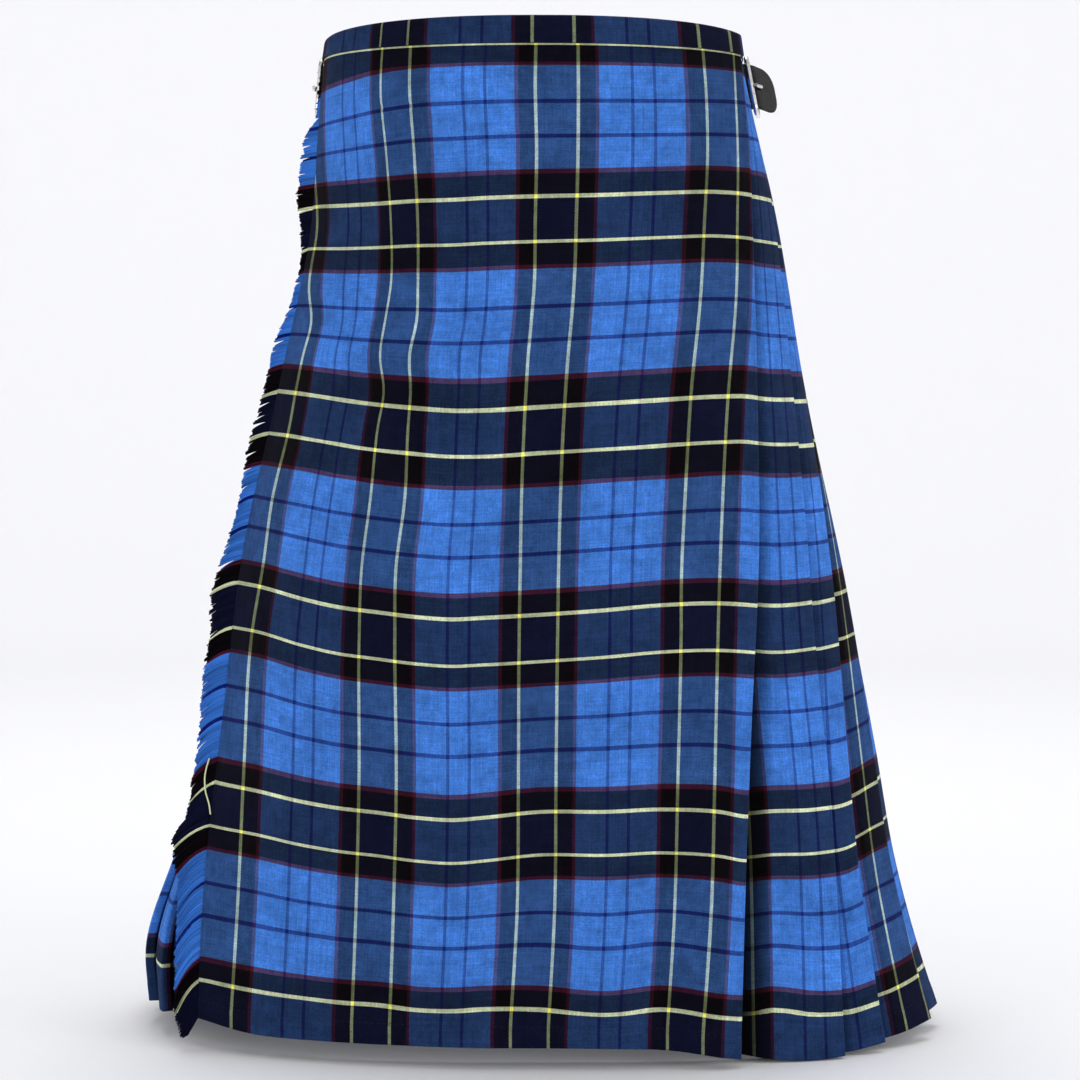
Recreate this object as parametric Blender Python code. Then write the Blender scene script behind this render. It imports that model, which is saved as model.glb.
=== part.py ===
"""Scottish kilt, filled out as it is worn, with nobody in it.

One length of tartan is wrapped round the waist: the under apron lies inside across the front,
knife pleats go round the side, back and other side, and the over apron closes over the front with
a fringed edge at the wearer's right. A waistband strip finishes the top, and a strap and buckle
at each hip hold the kilt closed.

Metres, +Z up, front towards -Y, wearer's left at +X. The origin is the centre of the waist, level
with the seam under the waistband. Heights below it are negative.
"""
import math

import bmesh
import bpy
import numpy as np
from mathutils import Matrix, Vector

# ---------------------------------------------------------------- driving dimensions
HEM_Z = -0.594              # hem's edge, under the waistband's seam
SEAM_GAP = 0.0003           # gap that touching pieces keep
CLOTH = 0.0012              # thickness of the wool cloth
BAND_THICKNESS = 0.0024     # waistband, cloth folded double
BAND_FRONT_HEIGHT = 0.0165
BAND_SIDE_HEIGHT = 0.0125
BAND_RIM = 0.0007           # rounding of the band's top edge
LEATHER = 0.0018

# The line of the wearer that the cloth hangs on, level by level. Half widths left and right
# (viewer's sides), front and back reach, where the widest line lies, squareness of the outline
# (2 is an ellipse), and how far the outline is sheared, since the kilt hangs slightly turned.
LEVEL_COLUMNS = ("z", "left", "right", "front", "back", "side_y", "square", "shear")
LEVELS = (
    (0.020, 0.1215, 0.1210, 0.0915, 0.0940, 0.000, 2.20, 0.00),
    (0.000, 0.1235, 0.1240, 0.0920, 0.0960, 0.000, 2.20, 0.00),
    (-0.100, 0.1325, 0.1465, 0.0960, 0.1130, 0.004, 2.20, 0.00),
    (-0.200, 0.1530, 0.1640, 0.0990, 0.1330, 0.012, 2.20, -0.01),
    (-0.350, 0.1850, 0.1940, 0.1000, 0.1520, 0.026, 2.30, -0.03),
    (-0.430, 0.1985, 0.2075, 0.1010, 0.1620, 0.033, 2.35, -0.04),
    (-0.500, 0.2225, 0.2185, 0.1015, 0.1710, 0.039, 2.40, -0.05),
    (-0.560, 0.2410, 0.2335, 0.1015, 0.1780, 0.043, 2.45, -0.05),
    (-0.594, 0.2380, 0.2440, 0.1015, 0.1820, 0.045, 2.45, -0.05),
)

# Where the over apron's fringed edge and its folded edge lie across the front, and how far the
# under apron reaches past the folded edge.
APRON_COLUMNS = ("z", "fringed_x", "folded_x", "under_reach")
APRON_EDGES = (
    (0.020, -0.1290, 0.1230, 0.012),
    (0.000, -0.1325, 0.1245, 0.012),
    (-0.050, -0.1345, 0.1290, 0.020),
    (-0.100, -0.1375, 0.1305, 0.030),
    (-0.200, -0.1580, 0.1330, 0.055),
    (-0.300, -0.1810, 0.1335, 0.070),
    (-0.400, -0.1930, 0.1285, 0.085),
    (-0.470, -0.2005, 0.1255, 0.095),
    (-0.594, -0.2070, 0.1215, 0.110),
)

# Rows down the cloth at which the sections are taken.
ROW_Z = (-SEAM_GAP, -0.070, -0.140, -0.200, -0.280, -0.360, -0.430, -0.490, -0.545, HEM_Z)

# Knife pleats. The faces next to the apron are cut to their own widths, the rest share what is
# left evenly. Above FELL_END the pleats are stitched flat, below it they open towards the hem.
FIRST_FACE_HEIGHTS = (0.0, -0.200, -0.330, -0.455, HEM_Z)
FIRST_FACE_WIDTHS = (
    (0.0380, 0.0420, 0.0455, 0.0600, 0.0660),
    (0.0200, 0.0280, 0.0265, 0.0210, 0.0300),
    (0.0140, 0.0260, 0.0320, 0.0370, 0.0440),
)
EVEN_PLEATS = 22
FELL_END = -0.170
UNDERFOLD_SHARE = 0.65      # depth of a pleat's underfold, as a share of its face
LAST_PLEAT_UNDER_APRON = (0.036, 0.075)     # how far the last fold lies in under the apron
FACE_START = 0.0012         # a face leaves the body line this far past the fold above it
FACE_LEAD = 0.0010          # and is at its height this far before the layers under it begin
FULL_FACE = 0.034           # faces narrower than this open less at the hem

# How far out from the body line each layer's corner stands, in the stitched fell and at the hem.
PLEAT_HEIGHTS = {
    "inner_return": (0.0016, 0.0026),
    "inner_face": (0.0032, 0.0052),
    "fold_return": (0.0016, 0.0055),
    "fold_face": (0.0032, 0.0110),
}

# Aprons: how far the over apron stands off the body line, and its folded edge's return.
OVER_STAND_OFF = (0.0074, 0.0165)
OVER_RETURN_PITCH = (0.0020, 0.0060)
OVER_UNDERFOLD = (0.012, 0.045)
UNDER_STAND_IN = (0.0030, 0.0090)
OVER_COLUMNS = 24
UNDER_COLUMNS = 34

# Soft folds of the over apron, standing out (+) or in (-) from its plain hang.
# Each runs from x_top at height z_top to x_low at z_low, with its half width and depth.
APRON_FOLDS = (
    (-0.088, -0.080, -0.08, -0.30, 0.016, 0.0040),
    (-0.060, -0.062, -0.10, -0.28, 0.014, -0.0030),
    (-0.115, -0.130, -0.30, -0.62, 0.020, -0.0022),
    (-0.020, -0.040, -0.28, -0.64, 0.030, 0.0050),
    (0.070, 0.078, -0.40, -0.64, 0.018, -0.0045),
    (0.105, 0.112, -0.42, -0.66, 0.016, 0.0040),
)
CORNER_DROP = 0.009         # the hem hangs this much lower round the folded edge's corner
CORNER_X = 0.150
CORNER_WIDTH = 0.065

# Fringe of the over apron's edge.
FRINGE_STRANDS = 120
FRINGE_STRIP = 0.0024       # width of the narrow strip that holds the strands' roots
FRINGE_REACH = 0.0125       # how far the strands reach out from the strip
FRINGE_FALL = 0.0110        # and how far they fall
FRINGE_FLARE = 1.1          # outward part of their direction, to 1 along the cloth
FRINGE_SWING = 0.0013       # strands stand alternately in and out by this
FRINGE_TOP = 0.45           # the first strands reach out only this share
FRINGE_TOP_STRANDS = 16
CORNER_STRANDS = 5          # the last strands hang below the hem
CORNER_FALL = 0.019

# Hip straps and buckles. Places are given along from each hip's own point and out from it.
STRAP_WIDTH = 0.028
STRAP_Z = -0.0145
STRAP_TONGUE = 0.024        # length of the strap's rounded tip
CHAPE_WIDTH = 0.024
CHAPE_LEATHER = 0.0016
CHAPE_OUT = 0.0063          # how far out the chape lies where it is sewn to the pleats
BUCKLE_HEIGHT = 0.038
BUCKLE_LENGTH = 0.031
BUCKLE_WIRE = 0.0016
BUCKLE_CORNER = 0.005
PRONG_WIRE = 0.0011
PRONG_RISE = 0.0062         # how far the prong's hump stands off the buckle's plane
PRONG_HUMP = 0.0120         # and how far that is from the end bar
PRONG_TIP = 0.0015          # the tip reaches this far past the end bar
HOLE = 0.0017               # radius of the strap's hole round the prong
SLIT_HEIGHT = 0.033
SLIT_WIDTH = 0.0070
SLIT_DEPTH = 0.030          # length of the cut, through every layer of the pleats
HIP_PAST_SIDE = 0.006       # the slit lies this far behind the widest point of the waist
LEFT_TILT = math.radians(9)
RIGHT_TILT = math.radians(-8)

# Paths of the straps beyond the cloth, over each buckle's hinge bar to the tip: along, out.
LEFT_STRAP = ((-0.0015, -0.0020), (0.0012, 0.0045), (0.0060, 0.0100), (0.0150, 0.0145),
              (0.0230, 0.0175), (0.0340, 0.0218), (0.0440, 0.0258), (0.0520, 0.0288))
RIGHT_STRAP = ((0.0060, 0.0058), (0.0160, 0.0082), (0.0270, 0.0118), (0.0360, 0.0138),
               (0.0450, 0.0130), (0.0570, 0.0060), (0.0670, -0.0020), (0.0750, -0.0110),
               (0.0810, -0.0190))
LEFT_END_BAR = (-0.0045, 0.0072)
RIGHT_END_BAR = (0.0160, 0.0115)
LEFT_SEWN = (0.062, 0.057, 0.052, 0.047)        # where the chapes lie on the pleats
RIGHT_SEWN = (0.084, 0.079, 0.074, 0.069)


# ---------------------------------------------------------------- numbers along tables
def smooth_between(z, heights, values):
    """A smooth curve through a table's values: a cubic with Catmull-Rom slopes at each height."""
    heights = np.asarray(heights, float)[::-1]
    values = np.asarray(values, float)[::-1]
    slopes = np.gradient(values, heights)
    z = np.clip(z, heights[0], heights[-1])
    i = np.clip(np.searchsorted(heights, z) - 1, 0, len(heights) - 2)
    step = heights[i + 1] - heights[i]
    u = (z - heights[i]) / step
    return ((2 * u**3 - 3 * u**2 + 1) * values[i] + (u**3 - 2 * u**2 + u) * step * slopes[i]
            + (3 * u**2 - 2 * u**3) * values[i + 1] + (u**3 - u**2) * step * slopes[i + 1])


def table_at(z, columns, rows, name):
    """The named column of a table whose first column is the height, at height z."""
    data = np.array(rows)
    return float(smooth_between(z, data[:, 0], data[:, columns.index(name)]))


def down_share(z):
    """0 at the waist's seam, 1 at the hem."""
    return min(1.0, max(0.0, z / HEM_Z))


def opening_share(z):
    """0 down to the end of the stitched fell, 1 at the hem."""
    return max(0.0, (z - FELL_END) / (HEM_Z - FELL_END)) ** 1.2


def mix(pair, share):
    """Between the two values of a pair."""
    return pair[0] + (pair[1] - pair[0]) * share


# ---------------------------------------------------------------- the body line
class BodyLine:
    """The level outline that the cloth hangs on: a superellipse with its own four reaches,
    measured by arc length. Arc length runs from the viewer's left over the front to the
    viewer's right and round the back."""

    SAMPLES = 1440

    def __init__(self, z):
        left, right, front, back, side_y, square, shear = (
            table_at(z, LEVEL_COLUMNS, LEVELS, name) for name in LEVEL_COLUMNS[1:])
        angle = math.pi + np.linspace(0.0, 2.0 * math.pi, self.SAMPLES + 1)
        c, s = np.cos(angle), np.sin(angle)
        across = np.where(c < 0, left, right)
        along = np.where(s < 0, front + side_y, back - side_y)
        self.x = across * np.sign(c) * np.abs(c) ** (2.0 / square)
        self.y = side_y + along * np.sign(s) * np.abs(s) ** (2.0 / square) + shear * self.x
        step = np.hypot(np.diff(self.x), np.diff(self.y))
        self.arc = np.concatenate(([0.0], np.cumsum(step)))
        self.length = self.arc[-1]
        tx = np.gradient(self.x, self.arc)
        ty = np.gradient(self.y, self.arc)
        size = np.hypot(tx, ty)
        self.nx, self.ny = ty / size, -tx / size
        self.nx[-1], self.ny[-1] = self.nx[0], self.ny[0] = -1.0, 0.0
        self.right_side = self.arc[np.argmax(self.x)]
        self.z = z

    def place(self, arc, out):
        """Points at these arc lengths, moved straight out from the line."""
        a = np.mod(arc, self.length)
        nx, ny = np.interp(a, self.arc, self.nx), np.interp(a, self.arc, self.ny)
        size = np.hypot(nx, ny)
        x = np.interp(a, self.arc, self.x) + nx / size * out
        y = np.interp(a, self.arc, self.y) + ny / size * out
        return np.stack([x, y, np.full_like(x, self.z) + hem_drop(x, y, self.z)], axis=-1)

    def arc_at_x(self, x, out):
        """Arc length where the front of the line, moved out, crosses this x."""
        front = self.arc <= self.right_side
        moved = self.x[front] + self.nx[front] * out
        order = np.maximum.accumulate(moved)
        return float(np.interp(x, order, self.arc[front]))


def hem_drop(x, y, z):
    """The cloth hangs lower round the folded edge's corner, more and more towards the hem."""
    share = down_share(z) ** 2
    in_front = np.clip(-y / 0.06, 0.0, 1.0)
    return -CORNER_DROP * share * in_front * np.exp(-((x - CORNER_X) / CORNER_WIDTH) ** 2)


def apron_edge(line, name):
    """Arc lengths of the over apron's fringed or folded edge on this level."""
    x = table_at(line.z, APRON_COLUMNS, APRON_EDGES, name)
    return line.arc_at_x(x, mix(OVER_STAND_OFF, down_share(line.z)))


# ---------------------------------------------------------------- pleats
def fold_arcs(line):
    """Arc lengths of every fold edge on this level: the apron's first, then each pleat's."""
    folds = [apron_edge(line, "folded_x")]
    for widths in FIRST_FACE_WIDTHS:
        folds.append(folds[-1] + float(smooth_between(line.z, FIRST_FACE_HEIGHTS, widths)))
    last = line.length + apron_edge(line, "fringed_x")
    last += mix(LAST_PLEAT_UNDER_APRON, down_share(line.z))
    even = np.linspace(folds[-1], last, EVEN_PLEATS + 1)[1:]
    return np.concatenate((folds, even))


def underfold_depths(line, folds):
    """How deep the cloth goes back under each fold edge."""
    depths = np.empty(len(folds))
    depths[0] = mix(OVER_UNDERFOLD, down_share(line.z))
    depths[1:] = UNDERFOLD_SHARE * np.diff(folds)
    return depths


def pleat_path(line, first, last):
    """The middle line of the cloth through pleats first to last, as arc lengths and distances
    out from the body line: each face rises over the layers under it to its fold edge, turns
    back to the inner fold and starts again underneath."""
    folds = fold_arcs(line)
    depths = underfold_depths(line, folds)
    opened = opening_share(line.z)
    height = {name: mix(pair, opened) for name, pair in PLEAT_HEIGHTS.items()}
    points = [(folds[first - 1] - depths[first - 1], 0.0)]
    for k in range(first, last + 1):
        narrow = min(1.0, (folds[k] - folds[k - 1]) / FULL_FACE)
        stitched = {name: pair[0] for name, pair in PLEAT_HEIGHTS.items()}
        own = {name: stitched[name] + (height[name] - stitched[name]) * narrow for name in height}
        inner, fold = folds[k] - depths[k], folds[k]
        points += [(folds[k - 1] + FACE_START, 0.0), (inner - FACE_LEAD, own["inner_face"]),
                   (fold, own["fold_face"]), (fold, own["fold_return"]),
                   (inner, own["inner_return"])]
        if k < last:
            points.append((inner, 0.0))
    return np.array(points)


# ---------------------------------------------------------------- aprons and waistband
def apron_fold_out(x, z):
    """How far the over apron's soft folds stand out at each x on this level."""
    out = np.zeros_like(x)
    for x_top, x_low, z_top, z_low, half_width, depth in APRON_FOLDS:
        share = (z_top - z) / (z_top - z_low)
        middle = x_top + (x_low - x_top) * share
        fade = max(0.0, math.sin(math.pi * min(1.0, max(0.0, share))))
        out += depth * fade * np.exp(-((x - middle) / half_width) ** 2)
    return out


def over_apron_path(line):
    """Fringed edge to folded edge, then back under to the inner fold."""
    share = down_share(line.z)
    edge, fold = apron_edge(line, "fringed_x"), apron_edge(line, "folded_x")
    stand, pitch = mix(OVER_STAND_OFF, share), mix(OVER_RETURN_PITCH, share)
    arcs = np.linspace(edge, fold, OVER_COLUMNS)
    out = stand + apron_fold_out(line.place(arcs, stand)[:, 0], line.z)
    out[-1] = stand
    under = fold - mix(OVER_UNDERFOLD, share) * np.array([0.0, 0.4, 1.0])
    arcs = np.concatenate((arcs, under))
    return np.stack([arcs, np.concatenate((out, np.full(3, stand - pitch)))], axis=-1)


def under_apron_path(line):
    """From the last pleat's inner fold, in under the over apron, to the wearer's left hip."""
    folds = fold_arcs(line)
    inner = folds[-1] - underfold_depths(line, folds)[-1]
    start = folds[-1] + FACE_START
    end = line.length + folds[0] + table_at(line.z, APRON_COLUMNS, APRON_EDGES, "under_reach")
    arcs = np.linspace(start, end, UNDER_COLUMNS)
    inward = np.clip((arcs - start) / (0.5 * (end - start)), 0.0, 1.0)
    inward = inward**2 * (3.0 - 2.0 * inward)
    path = np.stack([arcs, -mix(UNDER_STAND_IN, down_share(line.z)) * inward], axis=-1)
    return np.vstack(([[inner, 0.0]], path))


def wall_sides(path, thickness):
    """The two faces of a wall on a path: each point moved half the thickness both ways along
    its mitre, so that the wall keeps its thickness round every corner."""
    step = np.diff(path, axis=0)
    step /= np.linalg.norm(step, axis=1)[:, None]
    normal = np.stack([-step[:, 1], step[:, 0]], axis=-1)
    before = np.vstack((normal[:1], normal))
    after = np.vstack((normal, normal[-1:]))
    mitre = before + after
    mitre /= np.sum(mitre * before, axis=1)[:, None]
    return path + mitre * thickness / 2, path - mitre * thickness / 2


# ---------------------------------------------------------------- meshes
def material(name, colour, roughness, metallic=0.0):
    """A plain surface of this colour."""
    made = bpy.data.materials.get(name)
    if made:
        return made
    made = bpy.data.materials.new(name)
    made.use_nodes = True
    shader = made.node_tree.nodes["Principled BSDF"]
    shader.inputs["Base Color"].default_value = (*colour, 1.0)
    shader.inputs["Roughness"].default_value = roughness
    shader.inputs["Metallic"].default_value = metallic
    return made


def finish(name, bm, made_of):
    """One named object from a mesh, with its faces turned out."""
    bmesh.ops.remove_doubles(bm, verts=bm.verts, dist=1e-6)
    bmesh.ops.recalc_face_normals(bm, faces=bm.faces)
    mesh = bpy.data.meshes.new(name)
    bm.to_mesh(mesh)
    bm.free()
    mesh.materials.append(made_of)
    piece = bpy.data.objects.new(name, mesh)
    PARTS.objects.link(piece)
    return piece


def closed_wall(bm, front, back, turns_back=None):
    """A closed wall between two grids of points, rows by columns, split the same way on both
    sides so that its thickness holds between the points too. Columns that turn back under a
    fold are split the other way, so that the layers of a pleat lie parallel."""
    rows, columns = front.shape[:2]
    near = [[bm.verts.new(p) for p in row] for row in front]
    far = [[bm.verts.new(p) for p in row] for row in back]
    for i in range(rows - 1):
        for j in range(columns - 1):
            for grid, turn in ((near, 1), (far, -1)):
                a, b = grid[i][j], grid[i][j + 1]
                c, d = grid[i + 1][j + 1], grid[i + 1][j]
                other = turns_back is not None and turns_back[j]
                for corners in ((a, b, d), (b, c, d)) if other else ((a, b, c), (a, c, d)):
                    bm.faces.new(corners[::turn])
    rim = [(i, 0) for i in range(rows)] + [(rows - 1, j) for j in range(1, columns)]
    rim += [(i, columns - 1) for i in range(rows - 2, -1, -1)]
    rim += [(0, j) for j in range(columns - 2, 0, -1)]
    for (i, j), (k, m) in zip(rim, rim[1:] + rim[:1]):
        bm.faces.new((near[i][j], far[i][j], far[k][m]))
        bm.faces.new((near[i][j], far[k][m], near[k][m]))


def cloth(name, path_of, thickness=CLOTH):
    """A cloth wall through the sections that path_of gives on every row."""
    front, back = [], []
    for z in ROW_Z:
        line = LINES[z]
        outer, inner = wall_sides(path_of(line), thickness)
        front.append(line.place(outer[:, 0], outer[:, 1]))
        back.append(line.place(inner[:, 0], inner[:, 1]))
    turns_back = np.diff(path_of(LINES[ROW_Z[0]])[:, 0]) < 0
    bm = bmesh.new()
    closed_wall(bm, np.array(front), np.array(back), turns_back)
    return finish(name, bm, TARTAN)


def waistband():
    """One strip of cloth, folded double, that goes round once and a half: over the over apron,
    the pleats' tops and the under apron. It is higher in front than at the sides."""
    line = LINES[-SEAM_GAP]
    folds = fold_arcs(line)
    fringed = apron_edge(line, "fringed_x")
    under_end = line.length + folds[0] + table_at(0.0, APRON_COLUMNS, APRON_EDGES, "under_reach")
    over, pleats = OVER_STAND_OFF[0] + 0.0009, PLEAT_HEIGHTS["fold_face"][0] + 0.0002
    stops = ((fringed, over), (folds[0] + 0.001, over), (folds[0] + 0.014, pleats),
             (folds[-1] + 0.001, pleats), (folds[-1] + 0.030, -UNDER_STAND_IN[0]),
             (under_end, -UNDER_STAND_IN[0]))
    arcs = np.concatenate([np.linspace(a[0], b[0], n, endpoint=False) for a, b, n in
                           zip(stops[:-1], stops[1:], (20, 3, 28, 4, 18))] + [[under_end]])
    out = np.interp(arcs, [stop[0] for stop in stops], [stop[1] for stop in stops])
    outer, inner = wall_sides(np.stack([arcs, out], axis=-1), BAND_THICKNESS)
    in_front = np.clip(-line.place(arcs, out)[:, 1] / line.place(arcs, out)[:, 1].max(), 0, 1)
    height = mix((BAND_SIDE_HEIGHT, BAND_FRONT_HEIGHT), in_front)
    front, back = [], []
    for share, inset in ((0.0, 0.0), (0.9, 0.0), (1.0, BAND_RIM)):
        z = height * share
        lean = np.array([[table_at(h, LEVEL_COLUMNS, LEVELS, "right") - line.x.max()]
                         for h in z])
        middle = (outer + inner) / 2
        for side, rows in ((outer, front), (inner, back)):
            pulled = middle + (side - middle) * (1.0 - 2.0 * inset / BAND_THICKNESS)
            points = line.place(pulled[:, 0], pulled[:, 1] + lean[:, 0])
            points[:, 2] = z
            rows.append(points)
    bm = bmesh.new()
    closed_wall(bm, np.array(front), np.array(back))
    return finish("waistband", bm, TARTAN)


def fringe():
    """The over apron's edge, drawn out into strands: a narrow strip beside the cloth's edge,
    from which each strand reaches away and falls, tapering to its end."""
    cells = 2 * FRINGE_STRANDS + 1
    corners, away = [], []
    for z in ROW_Z:
        line = LINES[z]
        edge, out = over_apron_path(line)[0]
        arcs = np.array([edge - SEAM_GAP, edge - SEAM_GAP - FRINGE_STRIP])
        sides = [line.place(arcs, out + side * CLOTH / 2) for side in (1, -1)]
        corners.append([sides[0][0], sides[1][0], sides[0][1], sides[1][1]])
        along = sides[0][1] - sides[0][0]
        outward = sides[0][0] - sides[1][0]
        away.append(along / np.linalg.norm(along)
                    + FRINGE_FLARE * outward / np.linalg.norm(outward))
    corners, away = np.array(corners), np.array(away)
    at, rows = -np.linspace(ROW_Z[0], ROW_Z[-1], cells + 1), -np.array(ROW_Z)
    placed = np.array([[np.interp(at, rows, corners[:, i, k]) for k in range(3)]
                       for i in range(4)]).transpose(2, 0, 1)
    reach = np.stack([np.interp(at, rows, away[:, k]) for k in range(3)], axis=-1)
    reach[:, 2] = 0.0
    reach /= np.linalg.norm(reach, axis=1)[:, None]
    inner, outer = placed[:, :2], placed[:, 2:]
    bm = bmesh.new()
    v_inner = [[bm.verts.new(p) for p in pair] for pair in inner]
    v_outer = [[bm.verts.new(p) for p in pair] for pair in outer]
    bm.faces.new((v_inner[0][0], v_inner[0][1], v_outer[0][1], v_outer[0][0]))
    bm.faces.new((v_inner[-1][0], v_outer[-1][0], v_outer[-1][1], v_inner[-1][1]))
    for i in range(cells):
        for side in (0, 1):
            quad = (v_inner[i][side], v_inner[i + 1][side], v_outer[i + 1][side],
                    v_outer[i][side])
            bm.faces.new(quad[::1 if side else -1])
        bm.faces.new((v_inner[i][0], v_inner[i + 1][0], v_inner[i + 1][1], v_inner[i][1]))
        root = [v_outer[i][0], v_outer[i][1], v_outer[i + 1][1], v_outer[i + 1][0]]
        if i % 2 == 0:
            bm.faces.new(root)
            continue
        strand(bm, root, Vector(reach[i]), i // 2)
    return finish("apron_fringe", bm, TARTAN)


def strand(bm, root, away, index):
    """One four-sided strand drawn out of its root in two stretches, the second falling more."""
    uneven = 1.0 + 0.16 * math.sin(2.3 * index) + 0.10 * math.sin(0.37 * index)
    away = away * min(1.0, FRINGE_TOP + (1.0 - FRINGE_TOP) * index / FRINGE_TOP_STRANDS)
    sideways = Vector((-away.y, away.x, 0.0)) * FRINGE_SWING * (1 if index % 2 else -1)
    middle = sum((v.co for v in root), Vector()) / 4
    fall = min(FRINGE_FALL * uneven, middle.z - HEM_Z + 0.001)
    from_corner = FRINGE_STRANDS - 1 - index
    if from_corner < CORNER_STRANDS:
        near = (1.0 - from_corner / CORNER_STRANDS) ** 2
        fall = FRINGE_FALL + (CORNER_FALL - FRINGE_FALL) * near
        away = away * (1.0 - 0.6 * near)
    ring = root
    for share, drop, thin in ((0.5, 0.34, 0.85), (1.0, 1.0, 0.45)):
        centre = middle + away * FRINGE_REACH * uneven * share + sideways * share
        centre.z -= fall * drop
        grown = [bm.verts.new(centre + (v.co - middle) * thin) for v in root]
        for k in range(4):
            bm.faces.new((ring[k], ring[(k + 1) % 4], grown[(k + 1) % 4], grown[k]))
        ring = grown
    bm.faces.new(ring)


# ---------------------------------------------------------------- straps and buckles
class Hip:
    """A place on the body line at the straps' height. Pieces are laid out from it: along the
    way the strap runs, out from the body, and up the lean of the cloth."""

    def __init__(self, arc, direction):
        self.line = BodyLine(STRAP_Z)
        self.arc, self.direction = arc, direction
        self.origin = self.point_on(arc, 0.0)
        self.along = (self.point_on(arc + direction * 0.001, 0.0) - self.origin).normalized()
        self.out = (self.point_on(arc, 0.001) - self.origin).normalized()
        rise = 0.010
        above, below = BodyLine(STRAP_Z + rise), BodyLine(STRAP_Z - rise)
        lean = [self.out.dot(Vector(line.place(np.array([arc * line.length / self.line.length]),
                                               np.zeros(1))[0])) for line in (above, below)]
        self.up = (Vector((0, 0, 1)) + self.out * (lean[0] - lean[1]) / (2 * rise)).normalized()

    def point_on(self, arc, out):
        x, y, _ = self.line.place(np.array([arc]), np.array([out]))[0]
        return Vector((x, y, STRAP_Z))

    def round_the_body(self, offset, out):
        """Along and out, from this place, of a point that follows the body's curve."""
        away = self.point_on(self.arc + self.direction * offset, out) - self.origin
        return away.dot(self.along), away.dot(self.out)

    def world(self, along, out, up):
        return self.origin + self.along * along + self.out * out + self.up * up


def rounded_path(stops, spacing=0.0035):
    """A smooth path through a few stops, each given along and out."""
    stops = np.array(stops, float)
    run = np.concatenate(([0.0], np.cumsum(np.linalg.norm(np.diff(stops, axis=0), axis=1))))
    at = np.linspace(0.0, run[-1], max(2, int(run[-1] / spacing) + 1))
    slopes = np.gradient(stops, run, axis=0)
    i = np.clip(np.searchsorted(run, at, side="right") - 1, 0, len(run) - 2)
    step = (run[i + 1] - run[i])[:, None]
    u = (at - run[i])[:, None] / step
    return ((2 * u**3 - 3 * u**2 + 1) * stops[i] + (u**3 - 2 * u**2 + u) * step * slopes[i]
            + (3 * u**2 - 2 * u**3) * stops[i + 1] + (u**3 - u**2) * step * slopes[i + 1])


def ribbon(name, hip, path, half_widths, thickness):
    """A leather strip on edge: a wall along a path, as wide as half_widths says at each of
    the path's points."""
    outer, inner = wall_sides(path, thickness)
    grids = [[[hip.world(a, o, share * w) for (a, o), w in zip(side, half_widths)]
              for share in (1.0, 0.0, -1.0)] for side in (outer, inner)]
    bm = bmesh.new()
    closed_wall(bm, np.array(grids[0]), np.array(grids[1]))
    return finish(name, bm, BLACK_LEATHER)


def tongue_widths(path):
    """Half the strap's width at each point of its path, rounded off at its free end."""
    run = np.concatenate(([0.0], np.cumsum(np.linalg.norm(np.diff(path, axis=0), axis=1))))
    share = np.clip((run[-1] - run) / STRAP_TONGUE, 0.0, 1.0)
    return STRAP_WIDTH / 2 * (0.30 + 0.70 * np.sqrt(1.0 - (1.0 - share) ** 2))


def wire(name, points, radius, cyclic):
    """A bent metal wire: a round bevel along a line of points, made a mesh."""
    curve = bpy.data.curves.new(name, "CURVE")
    curve.dimensions = "3D"
    curve.bevel_depth = radius
    curve.bevel_resolution = 1
    curve.use_fill_caps = not cyclic
    spline = curve.splines.new("POLY")
    spline.points.add(len(points) - 1)
    for point, place in zip(spline.points, points):
        point.co = (*place, 1.0)
    spline.use_cyclic_u = cyclic
    holder = bpy.data.objects.new(name + "_line", curve)
    PARTS.objects.link(holder)
    graph = bpy.context.evaluated_depsgraph_get()
    mesh = bpy.data.meshes.new_from_object(holder.evaluated_get(graph))
    bm = bmesh.new()
    bm.from_mesh(mesh)
    bpy.data.objects.remove(holder)
    bpy.data.meshes.remove(mesh)
    return finish(name, bm, NICKEL)


def cutter(name, matrix, size, round_bar=False):
    """A box or a round bar that is cut away from a piece."""
    bm = bmesh.new()
    if round_bar:
        bmesh.ops.create_cone(bm, cap_ends=True, segments=12, radius1=size[0], radius2=size[0],
                              depth=size[2])
    else:
        bmesh.ops.create_cube(bm, size=1.0)
        bmesh.ops.scale(bm, vec=size, verts=bm.verts)
    mesh = bpy.data.meshes.new(name)
    bm.to_mesh(mesh)
    bm.free()
    made = bpy.data.objects.new(name, mesh)
    made.matrix_world = matrix
    made.hide_render = True
    made.display_type = "WIRE"
    CUTTERS.objects.link(made)
    return made


def cut_away(piece, made):
    cut = piece.modifiers.new(made.name, "BOOLEAN")
    cut.operation = "DIFFERENCE"
    cut.solver = "EXACT"
    cut.object = made


def axes_at(origin, x_axis, y_axis, z_axis):
    """The matrix that stands a piece at a place, on these three directions."""
    matrix = Matrix((x_axis, y_axis, z_axis)).transposed().to_4x4()
    matrix.translation = origin
    return matrix


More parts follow.
